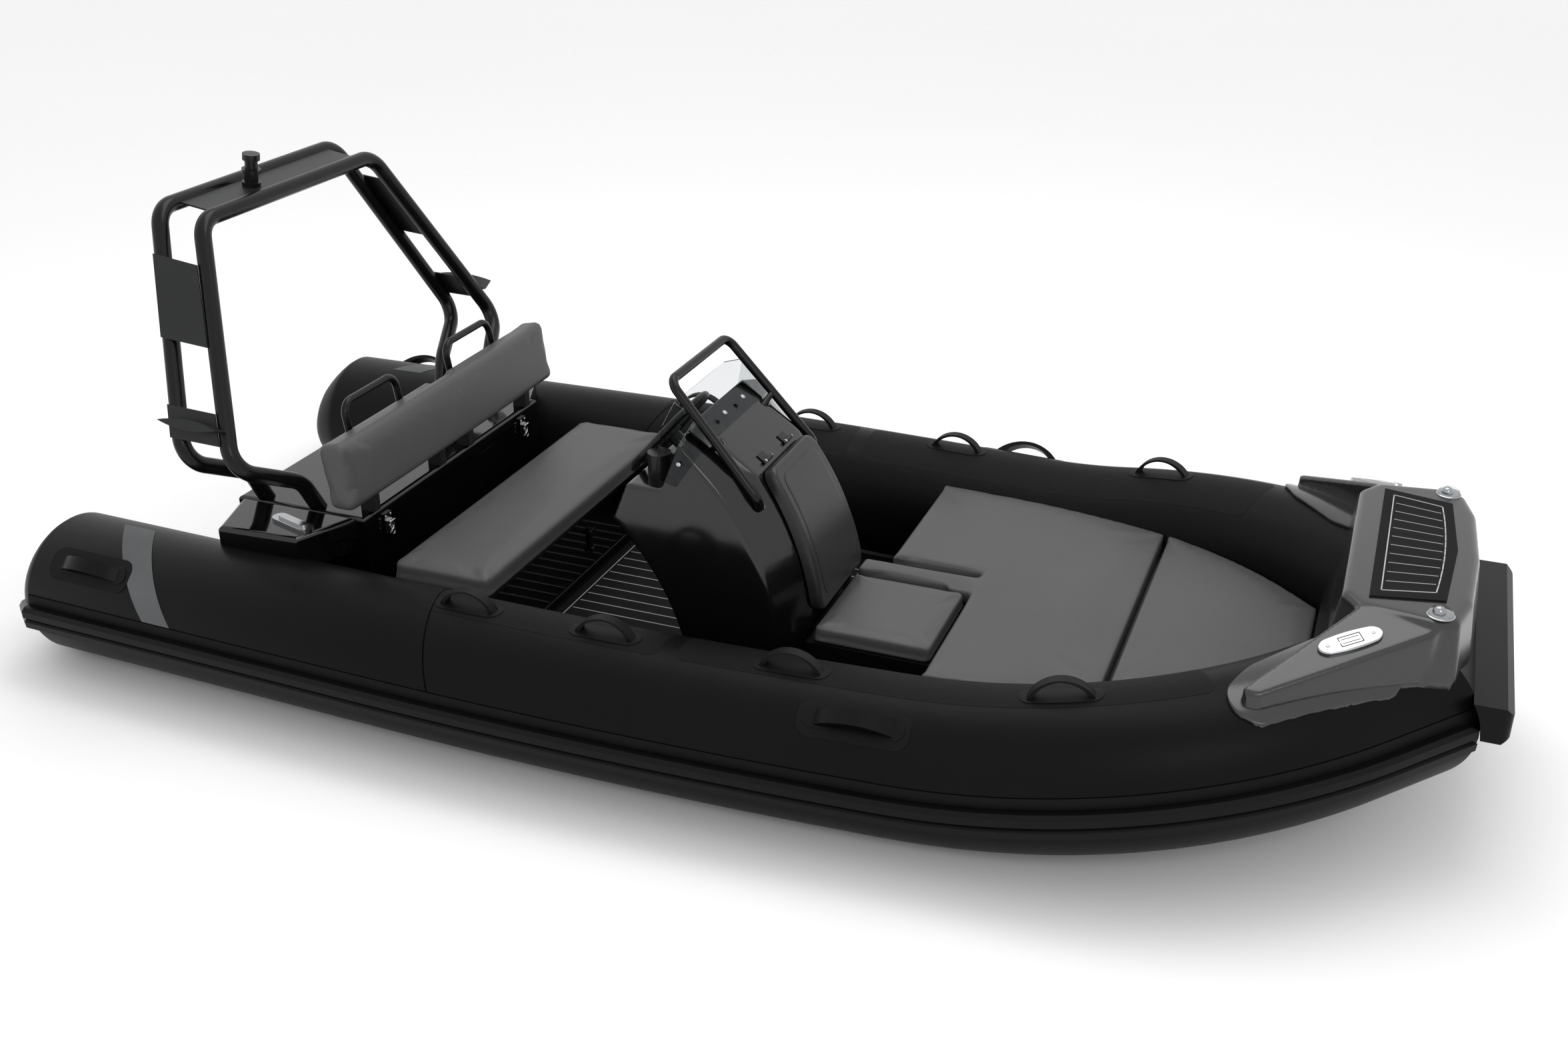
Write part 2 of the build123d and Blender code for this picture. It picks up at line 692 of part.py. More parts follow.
def cleat(place):
    # A low flush cleat: a rounded plate with a raised bar
    with BuildPart() as body:
        with BuildSketch(place):
            SlotOverall(cleat_length, cleat_width)
        extrude(amount=cleat_height * 0.55)
        with BuildSketch(place.offset(cleat_height * 0.55)):
            SlotOverall(cleat_length * 0.72, cleat_width * 0.5)
        extrude(amount=cleat_height * 0.45)
    return body.part


# Cleats on the bow wings
cleat_x = wing_root_x - 4
cleat_y = wing_root_y + 112
cleat_spot = Vector(cleat_x, cleat_y, wing_root_z - wing_fall * (cleat_y - wing_root_y))
cleat_along = Vector(wing_line.X, wing_line.Y, -wing_fall * wing_line.Y).normalized()
cleat_place = Plane(cleat_spot + wing_top.z_dir * seat, x_dir=cleat_along, z_dir=wing_top.z_dir)
with BuildPart() as bow_cleats:
    port_cleat = cleat(cleat_place)
    add(port_cleat)
    add(port_cleat.mirror(Plane.XZ))
bow_cleats.part.label = "bow_cleats"

# Navigation lights at the step's front corners
with BuildPart() as nav_lights:
    for side in (1, -1):
        with BuildSketch(Plane((wing_front_x + 8, side * (wing_front_y - 54), step_top + seat))):
            Circle(lamp_radius)
        extrude(amount=26)
    fillet(nav_lights.faces().filter_by(Axis.Z).sort_by(Axis.Z)[-2:].edges(), radius=20)
nav_lights.part.label = "nav_lights"


# The front curve keeps its foremost point and the heights of its edges
front_centre_x = front_face_x - front_radius
front_top_deg = degrees(asin((front_top_z - front_centre_z) / front_radius))
hatch_low_deg = degrees(asin((hatch_low_z - front_centre_z) / front_radius))
crease_radius = front_radius - crease_back
crease_top_deg = degrees(asin((crease_top_z - front_centre_z) / crease_radius))


def around(radius, angle_deg):
    # Point on the console's front curve, forward and up
    return (front_centre_x + radius * cos(radians(angle_deg)), front_centre_z + radius * sin(radians(angle_deg)))


def console_wire(radius, top_deg, ridge_z):
    # Side outline of the console at one half-breadth
    top = around(radius, top_deg)
    low = (console_base_fwd - (front_radius - radius), console_front_low)
    low_deg = degrees(atan2(low[1] - front_centre_z, low[0] - front_centre_x))
    low = around(radius, low_deg)
    ThreePointArc(top, around(radius, (top_deg + low_deg) / 2), low)
    Line(low, (low[0], deck_top))
    Line((low[0], deck_top), (console_base_aft, deck_top))
    ThreePointArc((console_base_aft, deck_top), (console_waist_x, console_waist_z), (knee_x, knee_z))
    Polyline((knee_x, knee_z), (shelf_aft_x, shelf_z), (shelf_fwd_x, shelf_z), (console_ridge_x, ridge_z), top)


# Console shell: nose block, sides that fall back to the crease, a helm shelf and a locker behind the hatch
with BuildPart() as console:
    for y, radius, top_deg, ridge_z in (
        (-console_half, crease_radius, crease_top_deg, console_ridge_z - ridge_drop),
        (-console_nose_half, front_radius, front_top_deg, console_ridge_z),
        (console_nose_half, front_radius, front_top_deg, console_ridge_z),
        (console_half, crease_radius, crease_top_deg, console_ridge_z - ridge_drop),
    ):
        with BuildSketch(Plane((0, y, 0), x_dir=(1, 0, 0), z_dir=(0, -1, 0))):
            with BuildLine():
                console_wire(radius, top_deg, ridge_z)
            make_face()
    loft(ruled=True)
    with BuildSketch(Plane((0, 0, 0), x_dir=(1, 0, 0), z_dir=(0, -1, 0))):
        Polygon(around(front_radius + 10, front_top_deg - 2.6), around(front_radius + 10, hatch_low_deg + 2.6),
                (console_waist_x + 75, console_waist_z + 20), (shelf_aft_x + 110, knee_z + 20),
                (shelf_fwd_x + 60, shelf_z), align=None)
    extrude(amount=hatch_top_half - 22, both=True, mode=Mode.SUBTRACT)
console.part.label = "console"

# Front hatch, hinged at its upper edge
with BuildPart() as hatch:
    back = front_radius + run
    front = back + hatch_thick
    low_deg = hatch_low_deg
    high_deg = front_top_deg - 0.7
    mid_deg = (low_deg + high_deg) / 2
    with BuildSketch(Plane((0, 0, 0), x_dir=(1, 0, 0), z_dir=(0, -1, 0))):
        with BuildLine():
            ThreePointArc(around(back, high_deg), around(back, mid_deg), around(back, low_deg))
            Line(around(back, low_deg), around(front, low_deg))
            ThreePointArc(around(front, low_deg), around(front, mid_deg), around(front, high_deg))
            Line(around(front, high_deg), around(back, high_deg))
        make_face()
    extrude(amount=hatch_low_half, both=True)
    top_z = around(front, high_deg)[1]
    low_z = around(back, low_deg)[1]
    with BuildSketch(Plane((-300, 0, 0), x_dir=(0, 1, 0), z_dir=(1, 0, 0))):
        Polygon((-hatch_low_half, low_z - 20), (hatch_low_half, low_z - 20), (hatch_top_half, top_z + 10),
                (-hatch_top_half, top_z + 10), align=None)
    extrude(amount=900, mode=Mode.INTERSECT)
    fillet(hatch.edges().filter_by(lambda e: e.length < hatch_thick * 1.1), radius=24)

# Hatch hinges on the console face above the hatch
face_dir = Vector(console_ridge_x - around(front_radius, front_top_deg)[0], 0,
                  console_ridge_z - around(front_radius, front_top_deg)[1]).normalized()
face_normal = Vector(face_dir.Z, 0, -face_dir.X)
hinge_foot = Vector(around(front_radius, front_top_deg)[0], 0, around(front_radius, front_top_deg)[1])
hinge_axis = hinge_foot + face_dir * 9 + face_normal * 11
with BuildPart() as hinges:
    for side in (1, -1):
        with BuildSketch(Plane(hinge_axis + Vector(0, side * hinge_y - hinge_length / 2, 0), x_dir=(1, 0, 0),
                               z_dir=(0, 1, 0))):
            Circle(7)
        extrude(amount=hinge_length)
        with Locations(Plane(hinge_axis + face_dir * 16 - face_normal * (11 - seat - 2) + Vector(0, side * hinge_y, 0),
                             x_dir=(0, 1, 0), z_dir=face_normal)):
            Box(hinge_length, 32, 4)
    with Locations(Plane(hinge_axis + face_dir * 2 - face_normal * 4.5, x_dir=(0, 1, 0), z_dir=face_normal)):
        with Locations((hinge_y, 0, 0), (-hinge_y, 0, 0)):
            Box(hinge_length, 6, 10)
hinges.part.label = "hatch_hinges"
hatch_edge = Vector(around(front - 8, high_deg)[0], 0, around(front - 8, high_deg)[1])
leaf_dir = (hatch_edge - hinge_axis).normalized()
leaf_normal = Vector(leaf_dir.Z, 0, -leaf_dir.X)
with BuildPart() as hatch_hung:
    add(hatch.part)
    for side in (1, -1):
        for beside in (1, -1):
            y = side * hinge_y + beside * (hinge_length / 2 + seat + 8)
            with BuildSketch(Plane(hinge_axis + Vector(0, y - 8, 0), x_dir=(1, 0, 0), z_dir=(0, 1, 0))):
                Circle(7)
            extrude(amount=16)
            with Locations(Plane((hinge_axis + hatch_edge) * 0.5 + leaf_dir * 4 + Vector(0, y, 0), x_dir=(0, 1, 0),
                                 z_dir=leaf_normal)):
                Box(16, (hatch_edge - hinge_axis).length + 8, 6)
hatch_hung.part.label = "console_hatch"

# Windscreen: one leaning front pane, two shoulders that drop outboard and two side wings
pane_foot = hinge_foot + face_dir * screen_low + face_normal * seat
pane_head = hinge_foot + face_dir * screen_high + face_normal * seat
wing_y = console_half + seat
wing_top_y = wing_y + screen_thick
shoulder_foot = Vector(pane_foot.X - 6, wing_top_y, pane_foot.Z - screen_drop)
shoulder_head = Vector(pane_head.X + 16, wing_top_y, pane_head.Z - screen_drop - 12)


def glass(points, outward):
    # One flat pane through three or four points, thickened outward
    spots = [Vector(*p) for p in points]
    normal = (spots[1] - spots[0]).cross(spots[2] - spots[0]).normalized()
    normal = normal if normal.dot(outward) > 0 else normal * -1
    place = Plane(spots[0], x_dir=spots[1] - spots[0], z_dir=normal)
    flat = [place.to_local_coords(v) for v in spots]
    with BuildPart() as pane:
        with BuildSketch(place):
            Polygon(*[(v.X, v.Y) for v in flat], align=None)
        extrude(amount=screen_thick)
    return pane.part


def at_side(spot, side):
    # The same point with its half-breadth on one side
    return (spot.X, side, spot.Z)


with BuildPart() as screen:
    add(glass([at_side(pane_foot, -pane_half), at_side(pane_foot, pane_half), at_side(pane_head, pane_half),
               at_side(pane_head, -pane_half)], face_normal))
    shoulder = glass([at_side(pane_foot, pane_half - 3), at_side(pane_head, pane_half - 3), shoulder_head,
                      shoulder_foot], face_normal)
    wing_glass = glass([at_side(shoulder_foot + UP * 2, wing_y), at_side(shoulder_head + UP * 2, wing_y),
                        (shoulder_head.X - 30, wing_y, shelf_z + 40), (shelf_fwd_x + 56, wing_y, shelf_z + 20)],
                       Vector(0, 1, 0))
    add(shoulder)
    add(shoulder.mirror(Plane.XZ))
    add(wing_glass)
    add(wing_glass.mirror(Plane.XZ))
screen.part.label = "windscreen"

# Grab rail round the console: its ends and a tie on each side are let into the nose
rail_low = (around(front_radius, front_top_deg)[0] + 56, console_nose_half + 58, shelf_z - 41)
rail_top = (console_ridge_x - 62, console_nose_half + 28, console_ridge_z + 128)
rail_end = (rail_low[0] - 78, console_nose_half + 5, rail_low[2] - 23)
rail_side = [rail_end, rail_low, rail_top]
tie_from = Vector(*rail_low) + (Vector(*rail_top) - Vector(*rail_low)) * 0.52
tie_to = tie_from + Vector(-14, -70, -34)


def rail_shape(extra):
    # The bent rail and its two ties, with room added round them
    with BuildPart() as shape:
        add(tube_along(rail_side + flip(rail_side), rail_radius + extra, 42.0))
        tie_dir = tie_to - tie_from
        with BuildSketch(Plane(tie_from, z_dir=tie_dir)):
            Circle(rail_radius * 0.7 + extra)
        tie = extrude(amount=tie_dir.length)
        add(tie.mirror(Plane.XZ))
    return shape.part


console_rail = rail_shape(0.0)
console_rail.label = "console_rail"
with BuildPart() as console_cut:
    add(console.part)
    add(rail_shape(seat), mode=Mode.SUBTRACT)
console_cut.part.label = "console"

# Control drum on the helm shelf
with BuildPart() as control_drum:
    with BuildSketch(Plane((shelf_fwd_x - 50, -205, shelf_z + seat))):
        Circle(38)
    extrude(amount=78)
control_drum.part.label = "control_drum"

# Steering wheel and the helm boss that carries it
tilt = radians(wheel_tilt_deg)
wheel_axis = Vector(-cos(tilt), 0, sin(tilt))
wheel_centre = Vector(wheel_x, 0, wheel_z)
wheel_plane = Plane(wheel_centre, x_dir=(0, 1, 0), z_dir=wheel_axis)
with BuildPart() as wheel:
    with BuildSketch(Plane(wheel_centre + Vector(0, wheel_radius, 0), x_dir=(0, 1, 0),
                           z_dir=wheel_axis.cross(Vector(0, 1, 0)))):
        Circle(wheel_rim)
    revolve(axis=Axis(wheel_centre, wheel_axis), revolution_arc=360)
    with BuildSketch(wheel_plane.offset(-16)):
        Circle(36)
    extrude(amount=28)
    for turn in (90, 210, 330):
        with BuildSketch(wheel_plane.offset(-5)):
            with Locations(Rotation(0, 0, turn)):
                with Locations((wheel_radius / 2, 0)):
                    Rectangle(wheel_radius, 30)
        extrude(amount=8)
wheel.part.label = "steering_wheel"
with BuildPart() as helm_boss:
    with BuildSketch(wheel_plane.offset(-16 - seat)):
        Circle(24)
    extrude(amount=-260)
    add(console_cut.part, mode=Mode.SUBTRACT)
    boss_piece = helm_boss.solids().sort_by(lambda s: (s.center() - wheel_centre).length)[0]
with BuildPart() as helm_post:
    add(boss_piece)
helm_post.part.label = "helm_boss"

# Bench: open box, hinged lid and its cushion
lid_top = bench_top - bench_cushion
lid_low = lid_top - bench_lid_thick
box_aft = bench_aft + 6
with BuildPart() as bench_box:
    with Locations(((box_aft + bench_box_fwd) / 2, 0, deck_top)):
        Box(bench_box_fwd - box_aft, 2 * bench_box_half, lid_low - run - deck_top,
            align=(Align.CENTER, Align.CENTER, Align.MIN))
    with Locations(((box_aft + bench_box_fwd) / 2, 0, deck_top + wall)):
        Box(bench_box_fwd - box_aft - 2 * wall, 2 * bench_box_half - 2 * wall, lid_low,
            align=(Align.CENTER, Align.CENTER, Align.MIN), mode=Mode.SUBTRACT)
    for y in knuckle_places:
        with Locations((box_aft - knuckle_radius, y, lid_low)):
            Cylinder(knuckle_radius, knuckle_length, rotation=(90, 0, 0))
        with Locations((box_aft - knuckle_radius / 2, y, lid_low - knuckle_radius - 12)):
            Box(knuckle_radius, knuckle_length, 30)
bench_box.part.label = "bench_box"
with BuildPart() as bench_lid:
    with Locations(((bench_aft + bench_fwd) / 2, 0, lid_low)):
        Box(bench_fwd - bench_aft - 30, 2 * bench_half - 30, bench_lid_thick,
            align=(Align.CENTER, Align.CENTER, Align.MIN))
    for y in knuckle_places:
        for side in (1, -1):
            beside = y + side * (knuckle_length + seat)
            with Locations((box_aft - knuckle_radius, beside, lid_low)):
                Cylinder(knuckle_radius, knuckle_length, rotation=(90, 0, 0))
            with Locations((box_aft - knuckle_radius, beside, lid_low + 1)):
                Box(bench_aft + 16 - box_aft + knuckle_radius, knuckle_length, 5,
                    align=(Align.MIN, Align.CENTER, Align.MIN))
bench_lid.part.label = "bench_lid"
with BuildPart() as bench_pad:
    with Locations(((bench_aft + bench_fwd) / 2, 0, lid_top + seat)):
        Box(bench_fwd - bench_aft, 2 * bench_half, bench_cushion - seat,
            align=(Align.CENTER, Align.CENTER, Align.MIN))
    fillet(bench_pad.edges().filter_by(Axis.Z), radius=30)
    fillet(bench_pad.faces().sort_by(Axis.Z)[-1].edges(), radius=16)
bench_pad.part.label = "bench_cushion"

# Stern locker and the quarter mouldings beside it
locker_aft_x = transom_x + locker_aft_gap
with BuildPart() as locker:
    with Locations(((locker_front_x + locker_aft_x) / 2, 0, deck_top)):
        Box(locker_front_x - locker_aft_x, 2 * locker_half, locker_top - deck_top,
            align=(Align.CENTER, Align.CENTER, Align.MIN))
    fillet(locker.faces().sort_by(Axis.Z)[-1].edges(), radius=14)
locker.part.label = "stern_locker"
with BuildPart() as quarter_port:
    with BuildSketch(Plane.XY.offset(quarter_low)):
        Polygon((locker_front_x - 30, locker_half + 1), (locker_front_x - quarter_front, quarter_front_y),
                (locker_front_x - quarter_aft, quarter_aft_y), (locker_aft_x + 20, locker_half + 1), align=None)
    extrude(amount=locker_top - quarter_low)
    fillet(quarter_port.faces().sort_by(Axis.Z)[-1].edges(), radius=16)
    add(room_port, mode=Mode.SUBTRACT)
with BuildPart() as quarters:
    add(quarter_port.part)
    add(quarter_port.part.mirror(Plane.XZ))
quarters.part.label = "stern_quarters"
with BuildPart() as stern_cleats:
    for side in (1, -1):
        add(cleat(Plane((locker_front_x - 195, side * (locker_half + 122), locker_top + seat), x_dir=(1, side * 0.3, 0),
                        z_dir=(0, 0, 1))))
stern_cleats.part.label = "stern_cleats"
with BuildPart() as latches:
    for side in (1, -1):
        with Locations((locker_front_x + seat + latch_plate / 2, side * latch_y, latch_z)):
            Box(latch_plate, latch_width, latch_height)
        with Locations((locker_front_x + seat + latch_plate * 1.5, side * latch_y, latch_z - latch_plate)):
            Box(latch_plate, latch_width - 12, latch_height - 34)
latches.part.label = "locker_latches"

# Backrest on four brackets, with two hoops behind its top edge
back_top_x = back_front_x - back_lean
with BuildPart() as backrest:
    with BuildSketch(Plane((0, 0, 0), x_dir=(1, 0, 0), z_dir=(0, -1, 0))):
        Polygon((back_front_x, back_low_z), (back_top_x, back_high_z), (back_top_x - back_thick, back_high_z - 22),
                (back_front_x - back_thick, back_low_z), align=None)
    extrude(amount=back_half, both=True)
    fillet(backrest.edges(), radius=back_round)
    with Locations((back_top_x - back_thick, 0, back_high_z)):
        Box(back_thick * 0.9, 210, 70, mode=Mode.SUBTRACT)
backrest.part.label = "backrest"
with BuildPart() as brackets:
    for place in bracket_places:
        for side in (1, -1):
            with Locations((back_front_x - 62, side * place, locker_top + seat)):
                Box(56, 34, back_low_z - locker_top - 2 * seat, align=(Align.CENTER, Align.CENTER, Align.MIN))
brackets.part.label = "backrest_brackets"
back_slope = back_lean / (back_high_z - 22 - back_low_z)
hoop_off = (hoop_radius + seat) * sqrt(1 + back_slope ** 2)


def hoop_spot(y, z):
    # Point on a hoop's line, just behind the backrest's rear face
    return (back_front_x - back_thick - back_slope * (z - back_low_z) - hoop_off, y, z)


hoop_low = back_high_z - 102
hoop_high = back_high_z + 43
hoop_parts = []
for inner_y, outer_y in hoop_places:
    line = [hoop_spot(inner_y, hoop_low), hoop_spot(inner_y, hoop_high), hoop_spot(outer_y, hoop_high),
            hoop_spot(outer_y, hoop_low)]
    hoop_parts.append(tube_along(line, hoop_radius, 46.0))
with BuildPart() as hoops:
    for hoop in hoop_parts:
        add(hoop)
        add(hoop.mirror(Plane.XZ))
hoops.part.label = "backrest_hoops"


def hoop_points(top, low, foot):
    # Corners of one roll-bar hoop, from the port foot to the top
    foot_y = locker_half - 45
    step_in = (low[0] + (foot[0] - low[0]) * 0.8, foot_y + 62, low[1] - 118)
    return [(foot[0], foot_y, locker_top - 30), step_in, (low[0], bar_low_half, low[1]), (top[0], bar_top_half, top[1])]


fore_points = hoop_points(fore_top, fore_low, fore_foot)
aft_points = hoop_points(aft_top, aft_low, aft_foot)


def hoop_bar(points):
    # One hoop, cut level at its feet
    with BuildPart() as hoop:
        add(tube_along(points + flip(points), bar_radius, bar_bend))
        split(bisect_by=Plane((0, 0, locker_top + seat), z_dir=(0, 0, 1)), keep=Keep.TOP)
    return hoop.part


fore_hoop = hoop_bar(fore_points)
fore_hoop.label = "roll_bar_fore_hoop"
aft_hoop = hoop_bar(aft_points)
aft_hoop.label = "roll_bar_aft_hoop"

# Top plate across both hoops
fore_spot = Vector(fore_top[0], 0, fore_top[1])
aft_spot = Vector(aft_top[0], 0, aft_top[1])
plate_dir = (fore_spot - aft_spot).normalized()
plate_normal = Vector(-plate_dir.Z, 0, plate_dir.X)
plate_mid = (fore_spot + aft_spot) * 0.5 + plate_normal * 4
with BuildPart() as top_plate:
    with BuildSketch(Plane(plate_mid, x_dir=plate_dir, z_dir=plate_normal)):
        Rectangle((fore_spot - aft_spot).length - 2 * bar_radius - 2 * seat, 2 * (bar_top_half - bar_bend + 20))
    extrude(amount=6)
top_plate.part.label = "roll_bar_top_plate"


def leg_spot(top, low, share):
    # Point on a leg's centreline, from its low corner upward
    return Vector(low[0] + (top[0] - low[0]) * share, bar_low_half + (bar_top_half - bar_low_half) * share,
                  low[1] + (top[1] - low[1]) * share)


def leg_plate(low_share, high_share, thick):
    # Plate laid on the outside of the aft port leg and reaching to the fore leg
    fore_a = leg_spot(fore_top, fore_low, low_share)
    fore_b = leg_spot(fore_top, fore_low, high_share)
    aft_a = leg_spot(aft_top, aft_low, low_share)
    aft_b = leg_spot(aft_top, aft_low, high_share)
    along = (aft_b - aft_a).normalized()
    across = (fore_a + fore_b - aft_a - aft_b).normalized()
    normal = across.cross(along).normalized()
    normal = normal if normal.Y > 0 else normal * -1
    place = Plane((aft_a + aft_b + fore_a + fore_b) * 0.25 + normal * (bar_radius + seat), x_dir=across,
                  z_dir=normal)
    spots = [place.to_local_coords(v) for v in (aft_a, fore_a, fore_b, aft_b)]
    out = bar_radius * 0.6
    back = bar_radius * 0.5
    with BuildPart() as plate:
        with BuildSketch(place):
            Polygon((spots[0].X - out, spots[0].Y), (spots[1].X - back, spots[1].Y),
                    (spots[2].X - back, spots[2].Y), (spots[3].X - out, spots[3].Y), align=None)
        extrude(amount=thick)
    return plate.part, place


side_plate, side_place = leg_plate(0.48, 0.81, 5.0)
with BuildPart() as side_plates:
    add(side_plate)
    add(side_plate.mirror(Plane.XZ))
side_plates.part.label = "roll_bar_side_plates"

# Step plates low on the legs, each with a lens-shaped tread
step_plate, step_place = leg_plate(0.09, 0.22, 5.0)
with BuildPart() as step_port:
    add(step_plate)
    with BuildSketch(step_place.offset(4)):
        with BuildLine():
            ThreePointArc((-118, 0), (0, 17), (118, 0))
            ThreePointArc((118, 0), (0, -17), (-118, 0))
        make_face()
    extrude(amount=52)
with BuildPart() as steps:
    add(step_port.part)
    add(step_port.part.mirror(Plane.XZ))
steps.part.label = "roll_bar_steps"

# All-round light on the top plate
with BuildPart() as light:
    light_plane = Plane(plate_mid + Vector(0, light_y, 0) + plate_normal * (6 + seat), x_dir=plate_dir, z_dir=plate_normal)
    for low, high, radius in ((0, 14, 32), (14, 46, 24), (46, 60, 33), (60, 92, 22), (92, 114, 30)):
        with BuildSketch(light_plane.offset(low)):
            Circle(radius)
        extrude(amount=high - low)
light.part.label = "all_round_light"

# Towing eyes on stem and transom
eye_bar = 7.0
with BuildPart() as tow_eyes:
    for x, y, z, out_dir in (
        (transom_x - seat, 430.0, 160.0, Vector(-1, 0, 0)),
        (transom_x - seat, -430.0, 160.0, Vector(-1, 0, 0)),
    ):
        foot = Vector(x, y, z)
        line = [foot + UP * 28, foot + UP * 28 + out_dir * 58, foot - UP * 28 + out_dir * 58, foot - UP * 28]
        add(tube_along([(p.X, p.Y, p.Z) for p in line], eye_bar, 20.0))
tow_eyes.part.label = "tow_eyes"

aside = Location((0, console_y, 0))
at_console = {}
for name, piece in (
    ("console", console_cut.part), ("console_hatch", hatch_hung.part), ("hatch_hinges", hinges.part),
    ("windscreen", screen.part), ("console_rail", console_rail), ("control_drum", control_drum.part),
    ("steering_wheel", wheel.part), ("helm_boss", helm_post.part),
):
    at_console[name] = piece.moved(aside)
    at_console[name].label = name

export_step(tube_port.part, "parts/tube_port.step")
export_step(tube_starboard, "parts/tube_starboard.step")
export_step(tube_bow.part, "parts/tube_bow.step")
export_step(strake_port.part, "parts/strake_port.step")
export_step(strake_starboard, "parts/strake_starboard.step")
export_step(bow_fender.part, "parts/bow_fender.step")
export_step(straps.part, "parts/grab_straps_port.step")
export_step(straps_stbd, "parts/grab_straps_starboard.step")
export_step(carries.part, "parts/carry_handles_port.step")
export_step(carries_stbd, "parts/carry_handles_starboard.step")
export_step(hull.part, "parts/hull.step")
export_step(stem.part, "parts/stem.step")
export_step(deck.part, "parts/deck.step")
export_step(deck_pads.part, "parts/deck_pads.step")
export_step(transom.part, "parts/transom.step")
export_step(tow_eyes.part, "parts/tow_eyes.step")
export_step(bow_locker.part, "parts/bow_locker.step")
export_step(bow_cushion_main.part, "parts/bow_cushion.step")
export_step(tip_cushion.part, "parts/bow_tip_cushion.step")
export_step(front_seat.part, "parts/front_seat_cushion.step")
export_step(bow_step.part, "parts/bow_step.step")
export_step(step_pad.part, "parts/bow_step_pad.step")
export_step(bow_cleats.part, "parts/bow_cleats.step")
export_step(nav_lights.part, "parts/nav_lights.step")
export_step(at_console["console"], "parts/console.step")
export_step(at_console["console_hatch"], "parts/console_hatch.step")
export_step(at_console["hatch_hinges"], "parts/hatch_hinges.step")
export_step(at_console["windscreen"], "parts/windscreen.step")
export_step(at_console["console_rail"], "parts/console_rail.step")
export_step(at_console["control_drum"], "parts/control_drum.step")
export_step(at_console["steering_wheel"], "parts/steering_wheel.step")
export_step(at_console["helm_boss"], "parts/helm_boss.step")
export_step(bench_box.part, "parts/bench_box.step")
export_step(bench_lid.part, "parts/bench_lid.step")
export_step(bench_pad.part, "parts/bench_cushion.step")
export_step(locker.part, "parts/stern_locker.step")
export_step(quarters.part, "parts/stern_quarters.step")
export_step(stern_cleats.part, "parts/stern_cleats.step")
export_step(latches.part, "parts/locker_latches.step")
export_step(backrest.part, "parts/backrest.step")
export_step(brackets.part, "parts/backrest_brackets.step")
export_step(hoops.part, "parts/backrest_hoops.step")
export_step(fore_hoop, "parts/roll_bar_fore_hoop.step")
export_step(aft_hoop, "parts/roll_bar_aft_hoop.step")
export_step(top_plate.part, "parts/roll_bar_top_plate.step")
export_step(side_plates.part, "parts/roll_bar_side_plates.step")
export_step(steps.part, "parts/roll_bar_steps.step")
export_step(light.part, "parts/all_round_light.step")
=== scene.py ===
import bpy
import bmesh
import json
import math
from mathutils import Matrix, Vector
from mathutils.bvhtree import BVHTree

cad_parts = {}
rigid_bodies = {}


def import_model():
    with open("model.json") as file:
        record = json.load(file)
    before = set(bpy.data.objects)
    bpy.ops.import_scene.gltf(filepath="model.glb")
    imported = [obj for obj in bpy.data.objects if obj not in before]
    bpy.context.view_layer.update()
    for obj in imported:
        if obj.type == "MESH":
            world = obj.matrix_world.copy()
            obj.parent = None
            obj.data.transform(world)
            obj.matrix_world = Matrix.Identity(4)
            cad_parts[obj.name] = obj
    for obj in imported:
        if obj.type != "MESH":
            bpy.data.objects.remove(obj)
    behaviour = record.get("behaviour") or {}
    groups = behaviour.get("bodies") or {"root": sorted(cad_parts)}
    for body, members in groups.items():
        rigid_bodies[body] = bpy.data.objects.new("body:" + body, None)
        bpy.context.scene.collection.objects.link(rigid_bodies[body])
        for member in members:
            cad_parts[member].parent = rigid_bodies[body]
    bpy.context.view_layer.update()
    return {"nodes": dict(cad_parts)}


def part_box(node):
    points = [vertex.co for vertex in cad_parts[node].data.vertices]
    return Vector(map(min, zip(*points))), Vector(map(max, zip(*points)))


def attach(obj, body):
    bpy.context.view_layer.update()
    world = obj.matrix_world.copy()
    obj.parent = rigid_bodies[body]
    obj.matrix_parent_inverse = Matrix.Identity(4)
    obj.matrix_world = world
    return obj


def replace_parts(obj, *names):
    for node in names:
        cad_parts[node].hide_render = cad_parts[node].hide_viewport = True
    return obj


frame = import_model()
scene = bpy.context.scene
scene.view_settings.view_transform = "Standard"
UP = Vector((0, 0, 1))
MM = 0.001
# Edges that turn more than this stay crisp
CRISP = math.radians(50)
# Vertices nearer than this are one
WELD = 1e-5
# How far the underside of a glued sheet lies below the fabric
BURY = 0.0006


def linear(code):
    # sRGB hex to linear colour
    parts = [int(code[i:i + 2], 16) / 255 for i in (1, 3, 5)]
    return [c / 12.92 if c <= 0.04045 else ((c + 0.055) / 1.055) ** 2.4 for c in parts] + [1.0]


def add_node(tree, kind, sockets=None, links=None, **settings):
    # One node with its settings, its fixed sockets and its links
    new = tree.nodes.new(kind)
    for key, value in settings.items():
        setattr(new, key, value)
    for key, value in (sockets or {}).items():
        new.inputs[key].default_value = value
    for key, source in (links or {}).items():
        tree.links.new(source, new.inputs[key])
    return new


